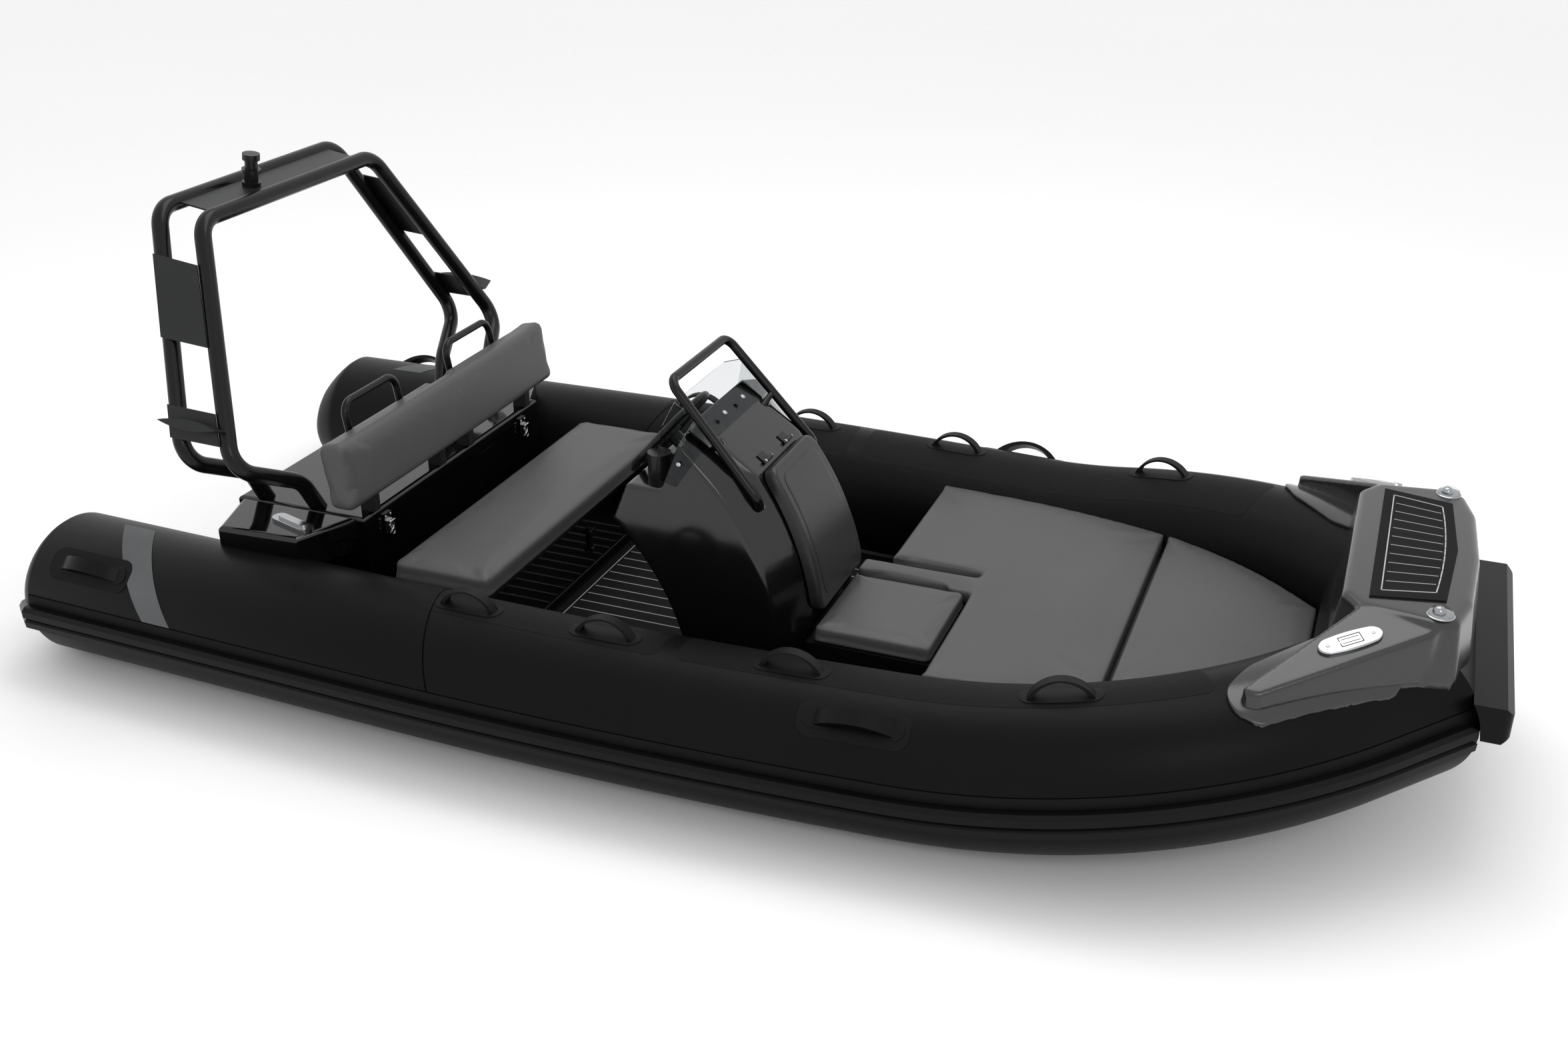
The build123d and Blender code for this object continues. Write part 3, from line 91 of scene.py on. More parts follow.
def surface(name, dark, light, grain_mm, cloud_mm, bump_mm, rough, spread=0.06, **shader):
    # A finish whose colour drifts over cloud_mm and whose gloss and relief follow a grain of grain_mm
    material = bpy.data.materials.new(name)
    material.use_nodes = True
    tree = material.node_tree
    shade = tree.nodes["Principled BSDF"]
    for key, value in shader.items():
        shade.inputs[key.replace("_", " ")].default_value = value
    coords = add_node(tree, "ShaderNodeTexCoord").outputs["Object"]
    grain = add_node(
        tree, "ShaderNodeTexNoise", {"Scale": 1 / (grain_mm * MM), "Detail": 3.0}, {"Vector": coords},
    )
    cloud = add_node(
        tree, "ShaderNodeTexNoise", {"Scale": 1 / (cloud_mm * MM), "Detail": 2.0}, {"Vector": coords},
    )
    tint = add_node(
        tree, "ShaderNodeMix", {6: linear(dark), 7: linear(light)}, {0: cloud.outputs[0]}, data_type="RGBA",
    )
    gloss = add_node(
        tree, "ShaderNodeMapRange",
        {"From Min": 0.3, "From Max": 0.7, "To Min": rough - spread, "To Max": rough + spread},
        {"Value": grain.outputs[0]},
    )
    relief = add_node(
        tree, "ShaderNodeBump", {"Strength": 0.6, "Distance": bump_mm * MM}, {"Height": grain.outputs[0]},
    )
    tree.links.new(tint.outputs[2], shade.inputs["Base Color"])
    tree.links.new(gloss.outputs[0], shade.inputs["Roughness"])
    tree.links.new(relief.outputs[0], shade.inputs["Normal"])
    return material


# Coated polyester fabric of the tubes: dull black with a soft broad sheen
# Its print of 1 mm is drawn at 2.5 mm to show
tube_fabric = surface(
    "coated_tube_fabric", "#060607", "#0b0b0c", 2.5, 420, 0.3, 0.42, Specular_IOR_Level=0.09,
)
# Glued fabric patches: the same cloth, a shade lighter where it was buffed
patch_fabric = surface(
    "buffed_patch_fabric", "#0a0a0b", "#101011", 2.5, 160, 0.4, 0.5, Specular_IOR_Level=0.1,
)
# Non-slip patches along the tube tops: black rubber with a grit of about 2 mm
grip_rubber = surface(
    "gritted_grip_rubber", "#060607", "#0b0b0c", 2.2, 300, 0.9, 0.62, Specular_IOR_Level=0.12,
)
# Extruded rubber of strakes, fender and handles: deep black, smoother than the fabric
strake_rubber = surface(
    "extruded_rubber", "#050506", "#09090a", 1.6, 260, 0.12, 0.34, Specular_IOR_Level=0.13,
)
# Thin black line where two fabric panels meet; the same black is also painted shade in the slots of the bow
# cleats
seam_and_slot_shade = surface("seam_glue_and_slot_shade", "#010101", "#030303", 3, 60, 0.2, 0.7, Specular_IOR_Level=0.03)
# Woven polyester strap: black with a rib across it, 2.2 mm a rib
strap_webbing = surface("woven_strap", "#0c0c0d", "#141415", 2.2, 60, 0.5, 0.55, Specular_IOR_Level=0.15)
# Gelcoat sprayed in a polished mould: near-black with a clear mirror of the studio and a trace of orange peel
gelcoat = surface("gloss_gelcoat", "#080809", "#0c0c0d", 40, 500, 0.01, 0.12, 0.015, Specular_IOR_Level=0.55)
# Moulded bow step: the same gelcoat, matted so that it takes a broad grey sheen
step_gelcoat = surface(
    "matted_gelcoat", "#1a1a1b", "#202021", 60, 400, 0.004, 0.2, 0.01, Specular_IOR_Level=0.65,
)
# Hatch panel: the console gelcoat rubbed to a satin, a shade lighter
hatch_satin = surface(
    "satin_hatch_gelcoat", "#19191a", "#202021", 30, 300, 0.01, 0.34, 0.02, Specular_IOR_Level=0.4,
)
# Gelcoat from an unpolished mould on lockers and boxes: dark with a satin skin
satin_gelcoat = surface(
    "satin_gelcoat", "#070708", "#0c0c0d", 35, 400, 0.012, 0.26, 0.02, Specular_IOR_Level=0.3,
)
# Gelcoat buffed to a mirror on bench box and stern locker: black, with the deck panels showing in it
mirror_gelcoat = surface(
    "buffed_gelcoat", "#050506", "#080809", 60, 500, 0.003, 0.06, 0.01, Specular_IOR_Level=0.5,
)
# Non-skid deck paint: dark with a sanded grit of about 1.5 mm, drawn at 3 mm
deck_grit = surface("gritted_deck_paint", "#0a0a0b", "#131314", 3, 220, 0.6, 0.6, Specular_IOR_Level=0.2)
# Painted laminate of the bottom: smooth dark grey
bottom_paint = surface(
    "bottom_paint", "#101113", "#17181b", 40, 600, 0.012, 0.3, 0.02, Specular_IOR_Level=0.3,
)
# Closed-cell foam sheet: charcoal, dry, with a brushed nap of about 1.2 mm
foam_sheet = surface(
    "brushed_foam_sheet", "#131314", "#1c1c1e", 1.6, 180, 0.4, 0.8, 0.05, Specular_IOR_Level=0.1,
)
# Pale foam showing in the routed lines of the sheet
foam_line = surface("pale_foam_line", "#9c9c99", "#b4b4b0", 2, 90, 0.2, 0.8, 0.05, Specular_IOR_Level=0.1)
# Marine vinyl of the cushions: dark grey with a pebble grain of 1.5 mm, drawn at 2.2 mm
marine_vinyl = surface(
    "grained_vinyl", "#434344", "#4b4b4c", 2.2, 300, 0.35, 0.42, 0.06, Specular_IOR_Level=0.3,
)
# Polished stainless steel: bright, with faint rubbing marks
polished_steel = surface("polished_stainless", "#a3a4a6", "#bcbdbf", 4, 80, 0.01, 0.16, 0.04, Metallic=1.0)
# Powder-coated steel tube of roll bar and rail: satin black with a fine orange peel
powder_coat = surface(
    "black_powder_coat", "#060607", "#0a0a0b", 3, 240, 0.05, 0.24, 0.04, Specular_IOR_Level=0.25,
)
# Powder-coated plate: dark grey, a little duller than the tubes
plate_coat = surface(
    "grey_powder_coat", "#151617", "#1d1e1f", 3, 240, 0.08, 0.4, 0.05, Specular_IOR_Level=0.3,
)
# Injection-moulded black plastic of wheel, control and lights: fine spark-eroded texture
moulded_plastic = surface(
    "moulded_plastic", "#0b0b0c", "#131314", 1.5, 90, 0.12, 0.32, 0.05, Specular_IOR_Level=0.3,
)
# Grey fabric of the plain stripe at each stern
stripe_grey = surface("grey_stripe_fabric", "#525354", "#5d5e5f", 2.5, 120, 0.2, 0.55, Specular_IOR_Level=0.1)
# Clear acrylic sheet, lightly smoked: see-through with a thin mirror at a low angle
clear_acrylic = surface("smoked_acrylic", "#dcdedf", "#e6e8e9", 60, 300, 0.0002, 0.006, 0.004, IOR=1.04,
                        Transmission_Weight=1.0)

WEARS = {
    tube_fabric: ("tube_port", "tube_starboard", "tube_bow"),
    strake_rubber: (
        "strake_port", "strake_starboard", "bow_fender", "carry_handles_port", "carry_handles_starboard",
    ),
    strap_webbing: ("grab_straps_port", "grab_straps_starboard"),
    bottom_paint: ("hull", "stem", "transom"),
    deck_grit: ("deck",),
    foam_sheet: ("deck_pads", "bow_step_pad"),
    satin_gelcoat: ("bow_locker", "bench_lid"),
    mirror_gelcoat: ("bench_box", "stern_locker", "stern_quarters"),
    gelcoat: ("console", "console_hatch"),
    step_gelcoat: ("bow_step",),
    marine_vinyl: ("bow_cushion", "bow_tip_cushion", "front_seat_cushion", "bench_cushion", "backrest"),
    polished_steel: ("tow_eyes", "bow_cleats", "nav_lights", "stern_cleats", "locker_latches"),
    clear_acrylic: ("windscreen",),
    powder_coat: ("console_rail", "roll_bar_fore_hoop", "roll_bar_aft_hoop", "backrest_hoops"),
    plate_coat: ("roll_bar_top_plate", "roll_bar_side_plates", "roll_bar_steps", "backrest_brackets"),
    moulded_plastic: ("control_drum", "steering_wheel", "helm_boss", "all_round_light", "hatch_hinges"),
}
for material, names in WEARS.items():
    for name in names:
        node = frame["nodes"][name]
        node.data.materials.clear()
        node.data.materials.append(material)


def everything(bm):
    # All that a bmesh holds, as its operators take it
    return bm.verts[:] + bm.edges[:] + bm.faces[:]


def corners(made):
    # The vertices among what an operator gives back
    return [v for v in made if isinstance(v, bmesh.types.BMVert)]


def piece(bm, name, material, body="boat", smooth=True):
    # Turns a finished bmesh into a piece that rides on a body
    for edge in bm.edges:
        edge.smooth = edge.calc_face_angle(0.0) < CRISP
    mesh = bpy.data.meshes.new(name)
    bm.to_mesh(mesh)
    bm.free()
    mesh.materials.append(material)
    mesh.polygons.foreach_set("use_smooth", [smooth] * len(mesh.polygons))
    made = bpy.data.objects.new(name, mesh)
    scene.collection.objects.link(made)
    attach(made, body)
    return made


# Centreline of the port tube: one straight, then three bends and a last straight
TUBE_RADIUS = 0.241
STERN = Vector((-2.320, 0.851, 0.247))
TOE = math.radians(1.586)
AHEAD = Vector((math.cos(TOE), math.sin(TOE), 0))
INBOARD = Vector((math.sin(TOE), -math.cos(TOE), 0))
CORNER_Y = 0.312
STRAIGHT = 1.371
# Side bend, sheer rise and bow bend: where each turns to, its radius and its degrees
BENDS = (("inboard", 15.870, 5.94), ("up", 2.362, 8.70), ("inboard", 1.355, 39.65))
TUBE_SIDES = 96
# Stern cone: length, loss of radius, drop and the share of the drop that it moves inboard
CONE_LONG, CONE_LOSS, CONE_DROP, CONE_INBOARD = 0.152, 0.099, 0.052, 0.35
CONE_RINGS = 7
# Rounded cap behind the cone: distance aft and radius of each ring
CAP_RINGS = ((0.141, 0.133), (0.149, 0.120), (0.152, 0.104), (0.153, 0.05))
# Half of the bow tube before its mitres are cut
BOW_REACH = 0.62


def tube_runs():
    # The straights and bends of the line, its last point and the direction of the mitre there
    runs = [("straight", STERN, AHEAD, INBOARD, STRAIGHT)]
    spot, ahead, inboard = STERN + AHEAD * STRAIGHT, AHEAD, INBOARD
    for toward, radius, degrees in BENDS:
        side = inboard if toward == "inboard" else UP
        angle = math.radians(degrees)
        runs.append(("bend", spot, ahead, inboard, side, radius, angle))
        centre = spot + side * radius
        spot = centre - side * (radius * math.cos(angle)) + ahead * (radius * math.sin(angle))
        turned = ahead * math.cos(angle) + side * math.sin(angle)
        if toward == "inboard":
            inboard = inboard * math.cos(angle) - ahead * math.sin(angle)
        ahead = turned
    reach = (spot.y - CORNER_Y) / -ahead.y
    runs.append(("straight", spot, ahead, inboard, reach))
    return runs, spot + ahead * reach, (ahead + Vector((0, -1, 0))).normalized()


RUNS, BOW_CORNER, MITRE = tube_runs()


def tube_frame(distance):
    # Centre, forward and inboard directions at a distance along the port tube
    for run in RUNS:
        long = run[4] if run[0] == "straight" else run[5] * run[6]
        if distance <= long or run is RUNS[-1]:
            break
        distance -= long
    spot, ahead, inboard = run[1], run[2], run[3]
    if run[0] == "straight":
        return spot + ahead * distance, ahead, inboard
    side, radius = run[4], run[5]
    angle = distance / radius
    here = spot + side * (radius * (1 - math.cos(angle))) + ahead * (radius * math.sin(angle))
    turned = ahead * math.cos(angle) + side * math.sin(angle)
    if side is not UP:
        inboard = inboard * math.cos(angle) - ahead * math.sin(angle)
    return here, turned, inboard


def wrap_on_tube(bm):
    # Bends a flat sheet, x along the tube, y round it from the outboard side and z off it, onto the port tube
    for vert in bm.verts:
        centre, ahead, inboard = tube_frame(vert.co.x)
        rise = ahead.cross(inboard) * -1
        angle = vert.co.y / TUBE_RADIUS
        away = inboard * -math.cos(angle) + rise * math.sin(angle)
        vert.co = centre + away * (TUBE_RADIUS + vert.co.z)


def starboard_too(bm):
    # Adds the mirrored half on the other side of the boat
    half = everything(bm)
    copy = bmesh.ops.duplicate(bm, geom=half)["geom"]
    verts = corners(copy)
    bmesh.ops.scale(bm, vec=(1, -1, 1), verts=verts)
    bmesh.ops.recalc_face_normals(bm, faces=bm.faces)


def end_edges(bm, tips):
    # The edges that lie between some end vertices
    tips = set(tips)
    return list({e for v in tips for e in v.link_edges if e.other_vert(v) in tips})


def carry_along(bm, loop):
    # Draws an open or closed outline along the port tube, stern to bow
    for run in RUNS:
        ends = list({v for e in loop for v in e.verts})
        if run[0] == "straight":
            made = bmesh.ops.extrude_edge_only(bm, edges=loop)["geom"]
            tips = corners(made)
            reach = run[4] + (TUBE_RADIUS * 1.2 if run is RUNS[-1] else 0)
            bmesh.ops.translate(bm, verts=tips, vec=run[2] * reach)
        else:
            made = bmesh.ops.spin(
                bm, geom=ends + loop, cent=run[1] + run[4] * run[5], axis=run[2].cross(run[4]), dvec=(0, 0, 0),
                angle=run[6], steps=max(8, round(math.degrees(run[6]))), use_merge=False, use_duplicate=False,
            )["geom_last"]
            tips = corners(made)
        loop = end_edges(bm, tips)
    return loop


def close_ends(bm):
    # Welds a shell, caps its open ends and turns its faces outward
    bmesh.ops.remove_doubles(bm, verts=bm.verts, dist=WELD)
    bmesh.ops.holes_fill(bm, edges=[e for e in bm.edges if e.is_boundary], sides=0)
    bmesh.ops.recalc_face_normals(bm, faces=bm.faces)


def side_tube(side):
    # Skin of one side tube with its dropped stern cone and mitred bow end
    bm = bmesh.new()
    upright = Matrix((-INBOARD, UP, AHEAD)).transposed().to_4x4()
    start = Matrix.Translation(STERN) @ upright
    bmesh.ops.create_circle(bm, segments=TUBE_SIDES, radius=TUBE_RADIUS, matrix=start)
    stern_loop = bm.edges[:]
    carry_along(bm, stern_loop)
    loop, last = stern_loop, TUBE_RADIUS
    cone = [(CONE_LONG * k / CONE_RINGS, (k / CONE_RINGS) ** 1.25) for k in range(1, CONE_RINGS + 1)]
    rings = [
        (along - 0.026 * share ** 6, TUBE_RADIUS - CONE_LOSS * share, CONE_DROP * share)
        for along, share in cone
    ]
    rings += [(along, radius, CONE_DROP) for along, radius in CAP_RINGS]
    centre = STERN
    for along, radius, drop in rings:
        made = bmesh.ops.extrude_edge_only(bm, edges=loop)["geom"]
        tips = corners(made)
        target = STERN - AHEAD * along + INBOARD * (drop * CONE_INBOARD) - UP * drop
        bmesh.ops.translate(bm, verts=tips, vec=target - centre)
        bmesh.ops.scale(bm, verts=tips, vec=[radius / last] * 3, space=Matrix.Translation(-target))
        centre, last = target, radius
        loop = end_edges(bm, tips)
    bmesh.ops.bisect_plane(
        bm, geom=everything(bm), plane_co=BOW_CORNER, plane_no=MITRE, clear_outer=True,
    )
    close_ends(bm)
    if side == "starboard":
        bmesh.ops.scale(bm, vec=(1, -1, 1), verts=bm.verts)
        bmesh.ops.recalc_face_normals(bm, faces=bm.faces)
    skin = piece(bm, "tube_skin_" + side, tube_fabric)
    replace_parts(skin, "tube_" + side)


side_tube("port")
side_tube("starboard")

# Cross tube of the bow between the two mitres
bm = bmesh.new()
across = Matrix(((1, 0, 0), (0, 0, 1), (0, 1, 0))).to_4x4()
start = Matrix.Translation((BOW_CORNER.x, -BOW_REACH, BOW_CORNER.z)) @ across
bmesh.ops.create_circle(bm, segments=TUBE_SIDES, radius=TUBE_RADIUS, matrix=start)
made = bmesh.ops.extrude_edge_only(bm, edges=bm.edges[:])["geom"]
bmesh.ops.translate(bm, verts=corners(made), vec=(0, 2 * BOW_REACH, 0))
for turn in (1, -1):
    bmesh.ops.bisect_plane(
        bm, geom=everything(bm), clear_inner=True,
        plane_co=(BOW_CORNER.x, BOW_CORNER.y * turn, BOW_CORNER.z), plane_no=(MITRE.x, MITRE.y * turn, MITRE.z),
    )
close_ends(bm)
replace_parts(piece(bm, "tube_skin_bow", tube_fabric), "tube_bow")


def thicken(bm, thick, rim):
    # Raises a flat sheet to a plate with its underside just below zero and its upper rim rounded
    raised = bmesh.ops.extrude_face_region(bm, geom=bm.faces[:])["geom"]
    bmesh.ops.translate(bm, verts=corners(raised), vec=(0, 0, thick))
    if rim:
        edges = [e for e in bm.edges if all(v.co.z > thick * 0.99 for v in e.verts)]
        bmesh.ops.bevel(bm, geom=edges, offset=rim, offset_type="OFFSET", segments=5, profile=0.5, material=-1,
                        affect="EDGES")
    bmesh.ops.translate(bm, verts=bm.verts, vec=(0, 0, -BURY))


def cut_up(bm, pitch):
    # Cuts a plate into small faces along both ways so that it can be bent
    for axis in (0, 1):
        low, high = min(v.co[axis] for v in bm.verts), max(v.co[axis] for v in bm.verts)
        count = max(2, round((high - low) / pitch))
        for k in range(1, count):
            spot, normal = Vector(), Vector()
            spot[axis], normal[axis] = low + (high - low) * k / count, 1
            bmesh.ops.bisect_plane(bm, geom=everything(bm), plane_co=spot, plane_no=normal)


def rounded_sheet(length, width, corner, thick, pitch=0.03, rim=0.0):
    # A plate with round corners, cut up for bending
    bm = bmesh.new()
    half_step = Matrix.Rotation(math.pi / 32, 4, "Z")
    bmesh.ops.create_circle(bm, cap_ends=True, segments=32, radius=corner, matrix=half_step)
    for vert in bm.verts:
        vert.co.x += math.copysign(length / 2 - corner, vert.co.x)
        vert.co.y += math.copysign(width / 2 - corner, vert.co.y)
    thicken(bm, thick, rim)
    cut_up(bm, pitch)
    return bm


def join_into(bm, other):
    # Puts one bmesh into another
    mesh = bpy.data.meshes.new("part")
    other.to_mesh(mesh)
    other.free()
    bm.from_mesh(mesh)
    bpy.data.meshes.remove(mesh)


def tube_sheets(name, rows, material):
    # Round-cornered sheets glued on both tubes
    # A row is distance, degrees up from outboard, length, width, corner and thickness
    whole = bmesh.new()
    for distance, degrees, length, width, corner, thick in rows:
        bm = rounded_sheet(length, width, corner, thick)
        bmesh.ops.translate(bm, verts=bm.verts, vec=(distance, math.radians(degrees) * TUBE_RADIUS, 0))
        wrap_on_tube(bm)
        join_into(whole, bm)
    starboard_too(whole)
    return piece(whole, name, material)


STRAPS = (1.625, 2.100, 2.696, 3.520)
HANDLES = ((0.238, 45), (2.930, 51))
GRIPS = ((1.882, 102, 0.816, 0.218, 0.03, 0.0012), (3.140, 102, 1.584, 0.214, 0.03, 0.0012))
tube_sheets("grip_patches", GRIPS, grip_rubber)
tube_sheets("strap_bases", [(d, 90, 0.235, 0.078, 0.038, 0.003) for d in STRAPS], patch_fabric)
bases = [(d, a, 0.335, 0.118, 0.045, 0.0022) for d, a in HANDLES]
tube_sheets("handle_bases", bases, patch_fabric)
pockets = [(d, a, 0.300, 0.064, 0.031, 0.0042) for d, a in HANDLES]
tube_sheets("handle_pockets", pockets, strake_rubber)


def slanted_bands(name, rows, material, thick):
    # Slanted bands on both tubes: top distance and width, top degrees, low distance and width, low degrees
    whole = bmesh.new()
    for top, top_wide, top_degrees, low, low_wide, low_degrees in rows:
        bm = bmesh.new()
        bmesh.ops.create_grid(bm, x_segments=4, y_segments=36, size=0.5)
        raised = bmesh.ops.extrude_face_region(bm, geom=bm.faces[:])["geom"]
        bmesh.ops.translate(bm, verts=corners(raised), vec=(0, 0, thick + BURY))
        for vert in bm.verts:
            share = vert.co.y + 0.5
            wide = low_wide + (top_wide - low_wide) * share
            vert.co.x = low + (top - low) * share + vert.co.x * wide
            vert.co.y = math.radians(low_degrees + (top_degrees - low_degrees) * share) * TUBE_RADIUS
            vert.co.z -= BURY
        wrap_on_tube(bm)
        join_into(whole, bm)
    starboard_too(whole)
    return piece(whole, name, material)


slanted_bands("stern_stripes", [(0.274, 0.133, 100, 0.550, 0.114, 14)], stripe_grey, 0.0007)
slanted_bands("panel_seams", [(1.427, 0.004, 150, 1.601, 0.004, 13.5)], seam_and_slot_shade, 0.0009)


def tape_band(name, low_degrees, high_degrees, thick, material):
    # A glued tape along both tubes, stern to bow mitre
    bm = bmesh.new()
    outline = []
    turns = [low_degrees + (high_degrees - low_degrees) * k / 4 for k in range(5)]
    for lift, row in ((thick, turns), (-BURY, turns[::-1])):
        for degrees in row:
            angle = math.radians(degrees)
            away = INBOARD * -math.cos(angle) + UP * math.sin(angle)
            outline.append(bm.verts.new(STERN + away * (TUBE_RADIUS + lift)))
    for first, second in zip(outline, outline[1:] + outline[:1]):
        bm.edges.new((first, second))
    carry_along(bm, bm.edges[:])
    bmesh.ops.bisect_plane(
        bm, geom=everything(bm), plane_co=BOW_CORNER, plane_no=MITRE, clear_outer=True,
    )
    close_ends(bm)
    starboard_too(bm)
    return piece(bm, name, material)


tape_band("strake_tapes", 4.5, 13.2, 0.0010, patch_fabric)
tape_band("tape_edges", 13.1, 13.7, 0.0013, seam_and_slot_shade)


def evened(made, voxel):
    # The piece's mesh laid out again in an even grid
    remesh = made.modifiers.new("even_grid", "REMESH")
    remesh.mode = "VOXEL"
    remesh.voxel_size = voxel
    mesh = bpy.data.meshes.new_from_object(made.evaluated_get(bpy.context.evaluated_depsgraph_get()))
    made.modifiers.clear()
    made.data = mesh
    return mesh


def bed_on_tubes(bm, reach):
    # Draws what lies within reach of the tubes a little into them, so that no thin edge is left on the fabric
    skins = [BVHTree.FromObject(bpy.data.objects[n], bpy.context.evaluated_depsgraph_get())
             for n in ("tube_skin_port", "tube_skin_starboard", "tube_skin_bow")]
    for vert in bm.verts:
        spot, normal = min((s.find_nearest(vert.co) for s in skins), key=lambda found: found[3])[:2]
        height = (vert.co - spot).dot(normal)
        # The mitre faces inside the tubes are upright and are passed over
        if height < reach and normal.z > 0.3:
            vert.co -= normal * min(reach - height, reach) * 0.9


def moulded(source, name, voxel, rounds, material, bed=0.0):
    # A laminate moulding: the solid laid out evenly and smoothed, so that its edges get the radius of a mould
    bm = bmesh.new()
    bm.from_mesh(frame["nodes"][source].data)
    bmesh.ops.remove_doubles(bm, verts=bm.verts, dist=WELD)
    made = piece(bm, name, material)
    mesh = evened(made, voxel)
    bm = bmesh.new()
    bm.from_mesh(mesh)
    for turn in range(rounds):
        bmesh.ops.smooth_vert(bm, verts=bm.verts, factor=0.5, use_axis_x=True, use_axis_y=True, use_axis_z=True)
    if bed:
        bed_on_tubes(bm, bed)
    bm.to_mesh(mesh)
    bm.free()
    mesh.materials.clear()
    mesh.materials.append(material)
    mesh.polygons.foreach_set("use_smooth", [True] * len(mesh.polygons))
    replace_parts(made, source)
    return made


moulded("bow_step", "bow_step_moulding", 0.0055, 9, step_gelcoat, bed=0.018)
moulded("console", "console_moulding", 0.0062, 4, gelcoat)

# Console hatch: a thick curved panel with soft edges, and a slightly raised field inside them
CONSOLE_Y = -0.258
FRONT_X, FRONT_Z, FRONT_R = -0.660, 0.3055, 0.948


def hatch_panel(length, width, corner, low, thick, rim):
    # A plate bent round the console's front curve and narrowed towards its top
    bm = rounded_sheet(length, width, corner, thick, 0.02, rim)
    for vert in bm.verts:
        angle = math.radians(22.275) + vert.co.x / 0.994
        radius = FRONT_R + low + vert.co.z
        across = vert.co.y * (0.928 - 0.144 * vert.co.x / 0.4988)
        vert.co = (FRONT_X + radius * math.cos(angle), CONSOLE_Y + across, FRONT_Z + radius * math.sin(angle))
    bmesh.ops.recalc_face_normals(bm, faces=bm.faces)
    return bm


whole = hatch_panel(0.4988, 0.402, 0.045, 0.006, 0.0385, 0.016)
join_into(whole, hatch_panel(0.420, 0.318, 0.04, 0.034, 0.0118, 0.0006))
hatch = piece(whole, "console_hatch_panel", hatch_satin, "console_hatch")
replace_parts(hatch, "console_hatch")


def dropped_flange():
    # Rim of the bow step that lies on the tubes round each wing
    bm = bmesh.new()
    outline = ((1.842, 0.350), (1.765, 0.420), (1.630, 0.604), (1.588, 0.712), (1.594, 0.754), (1.625, 0.786),
               (1.692, 0.793), (1.897, 0.648), (2.020, 0.557), (2.040, 0.500), (1.950, 0.350))
    bmesh.ops.contextual_create(bm, geom=[bm.verts.new((x, y, 0)) for x, y in outline])
    bmesh.ops.bevel(bm, geom=bm.verts[:], offset=0.018, offset_type="OFFSET", segments=4, profile=0.5,
                    material=-1, affect="VERTICES")
    thicken(bm, 0.0135, 0.004)
    cut_up(bm, 0.014)
    tubes = [BVHTree.FromObject(bpy.data.objects[n], bpy.context.evaluated_depsgraph_get())
             for n in ("tube_skin_port", "tube_skin_bow")]
    for vert in bm.verts:
        spots = [t.ray_cast(Vector((vert.co.x, vert.co.y, 2)), Vector((0, 0, -1)))[0] for t in tubes]
        vert.co.z += max(spot.z for spot in spots if spot)
    for turn in range(3):
        bmesh.ops.smooth_vert(bm, verts=bm.verts, factor=0.4, use_axis_x=True, use_axis_y=True, use_axis_z=True)
    starboard_too(bm)
    return piece(bm, "bow_step_flange", step_gelcoat)


dropped_flange()


def dome(bm, spot, normal, radius, height):
    # A low round head standing on a surface
    turn = Vector(normal).to_track_quat("Z", "Y").to_matrix().to_4x4()
    size = Matrix.Diagonal((radius, radius, height, 1))
    made = bmesh.ops.create_uvsphere(bm, u_segments=24, v_segments=12, radius=1)["verts"]
    bmesh.ops.transform(bm, matrix=Matrix.Translation(spot) @ turn @ size, verts=made)


# Round-headed screws of the windscreen
FACE_NORMAL = (0.5925, 0, 0.8057)
bm = bmesh.new()
for side in (1, -1):
    dome(bm, (-0.0595, CONSOLE_Y + side * 0.073, 1.0215), FACE_NORMAL, 0.009, 0.006)
    dome(bm, (-0.110, CONSOLE_Y + side * 0.316, 0.934), (0, side, 0), 0.009, 0.006)
piece(bm, "windscreen_screws", polished_steel)


# Hinge pins above the hatch, latch catches on the stern locker and the rubber pull on the bench front
def rod(bm, first, second, radius):
    # A short round bar between two points with eased ends
    along = Vector(second) - Vector(first)
    turn = along.to_track_quat("Z", "Y").to_matrix().to_4x4()
    place = Matrix.Translation((Vector(first) + Vector(second)) / 2) @ turn
    made = bmesh.ops.create_cone(
        bm, cap_ends=True, segments=20, radius1=radius, radius2=radius, depth=along.length, matrix=place,
    )["verts"]
    edges = {e for v in made for e in v.link_edges}
    ends = [e for e in edges if len(e.link_faces) == 2 and e.calc_face_angle() > 1.2]
    bmesh.ops.bevel(bm, geom=ends, offset=radius * 0.25, offset_type="OFFSET", segments=2, profile=0.5,
                    material=-1, affect="EDGES")


bm = bmesh.new()
for side in (1, -1):
    spot = Vector((0.0929, CONSOLE_Y + side * 0.085, 0.8948))
    rod(bm, spot - Vector((0, 0.027, 0)), spot + Vector((0, 0.027, 0)), 0.0068)
piece(bm, "hatch_hinge_pins", polished_steel)
LATCH_Y = 0.465
bm = bmesh.new()
for side in (1, -1):
    for x, z, radius in ((-1.2655, 0.474, 0.013), (-1.262, 0.452, 0.010)):
        place = Matrix.Translation((x, side * LATCH_Y + radius, z))
        ring = bmesh.ops.create_circle(bm, segments=12, radius=0.0026, matrix=place)
        edges = list({e for v in ring["verts"] for e in v.link_edges})
        bmesh.ops.spin(bm, geom=ring["verts"] + edges, steps=24, cent=(x, side * LATCH_Y, z), axis=(1, 0, 0),
                       dvec=(0, 0, 0), angle=math.tau, use_merge=True)
    rod(bm, (-1.264, side * LATCH_Y - 0.016, 0.492), (-1.264, side * LATCH_Y + 0.016, 0.492), 0.0045)
    for dy in (-0.014, 0.014):
        dome(bm, (-1.2765, side * LATCH_Y + dy, 0.511), (1, 0, 0), 0.004, 0.003)
bmesh.ops.remove_doubles(bm, verts=bm.verts, dist=1e-6)
bmesh.ops.recalc_face_normals(bm, faces=bm.faces)
piece(bm, "latch_catches", polished_steel)

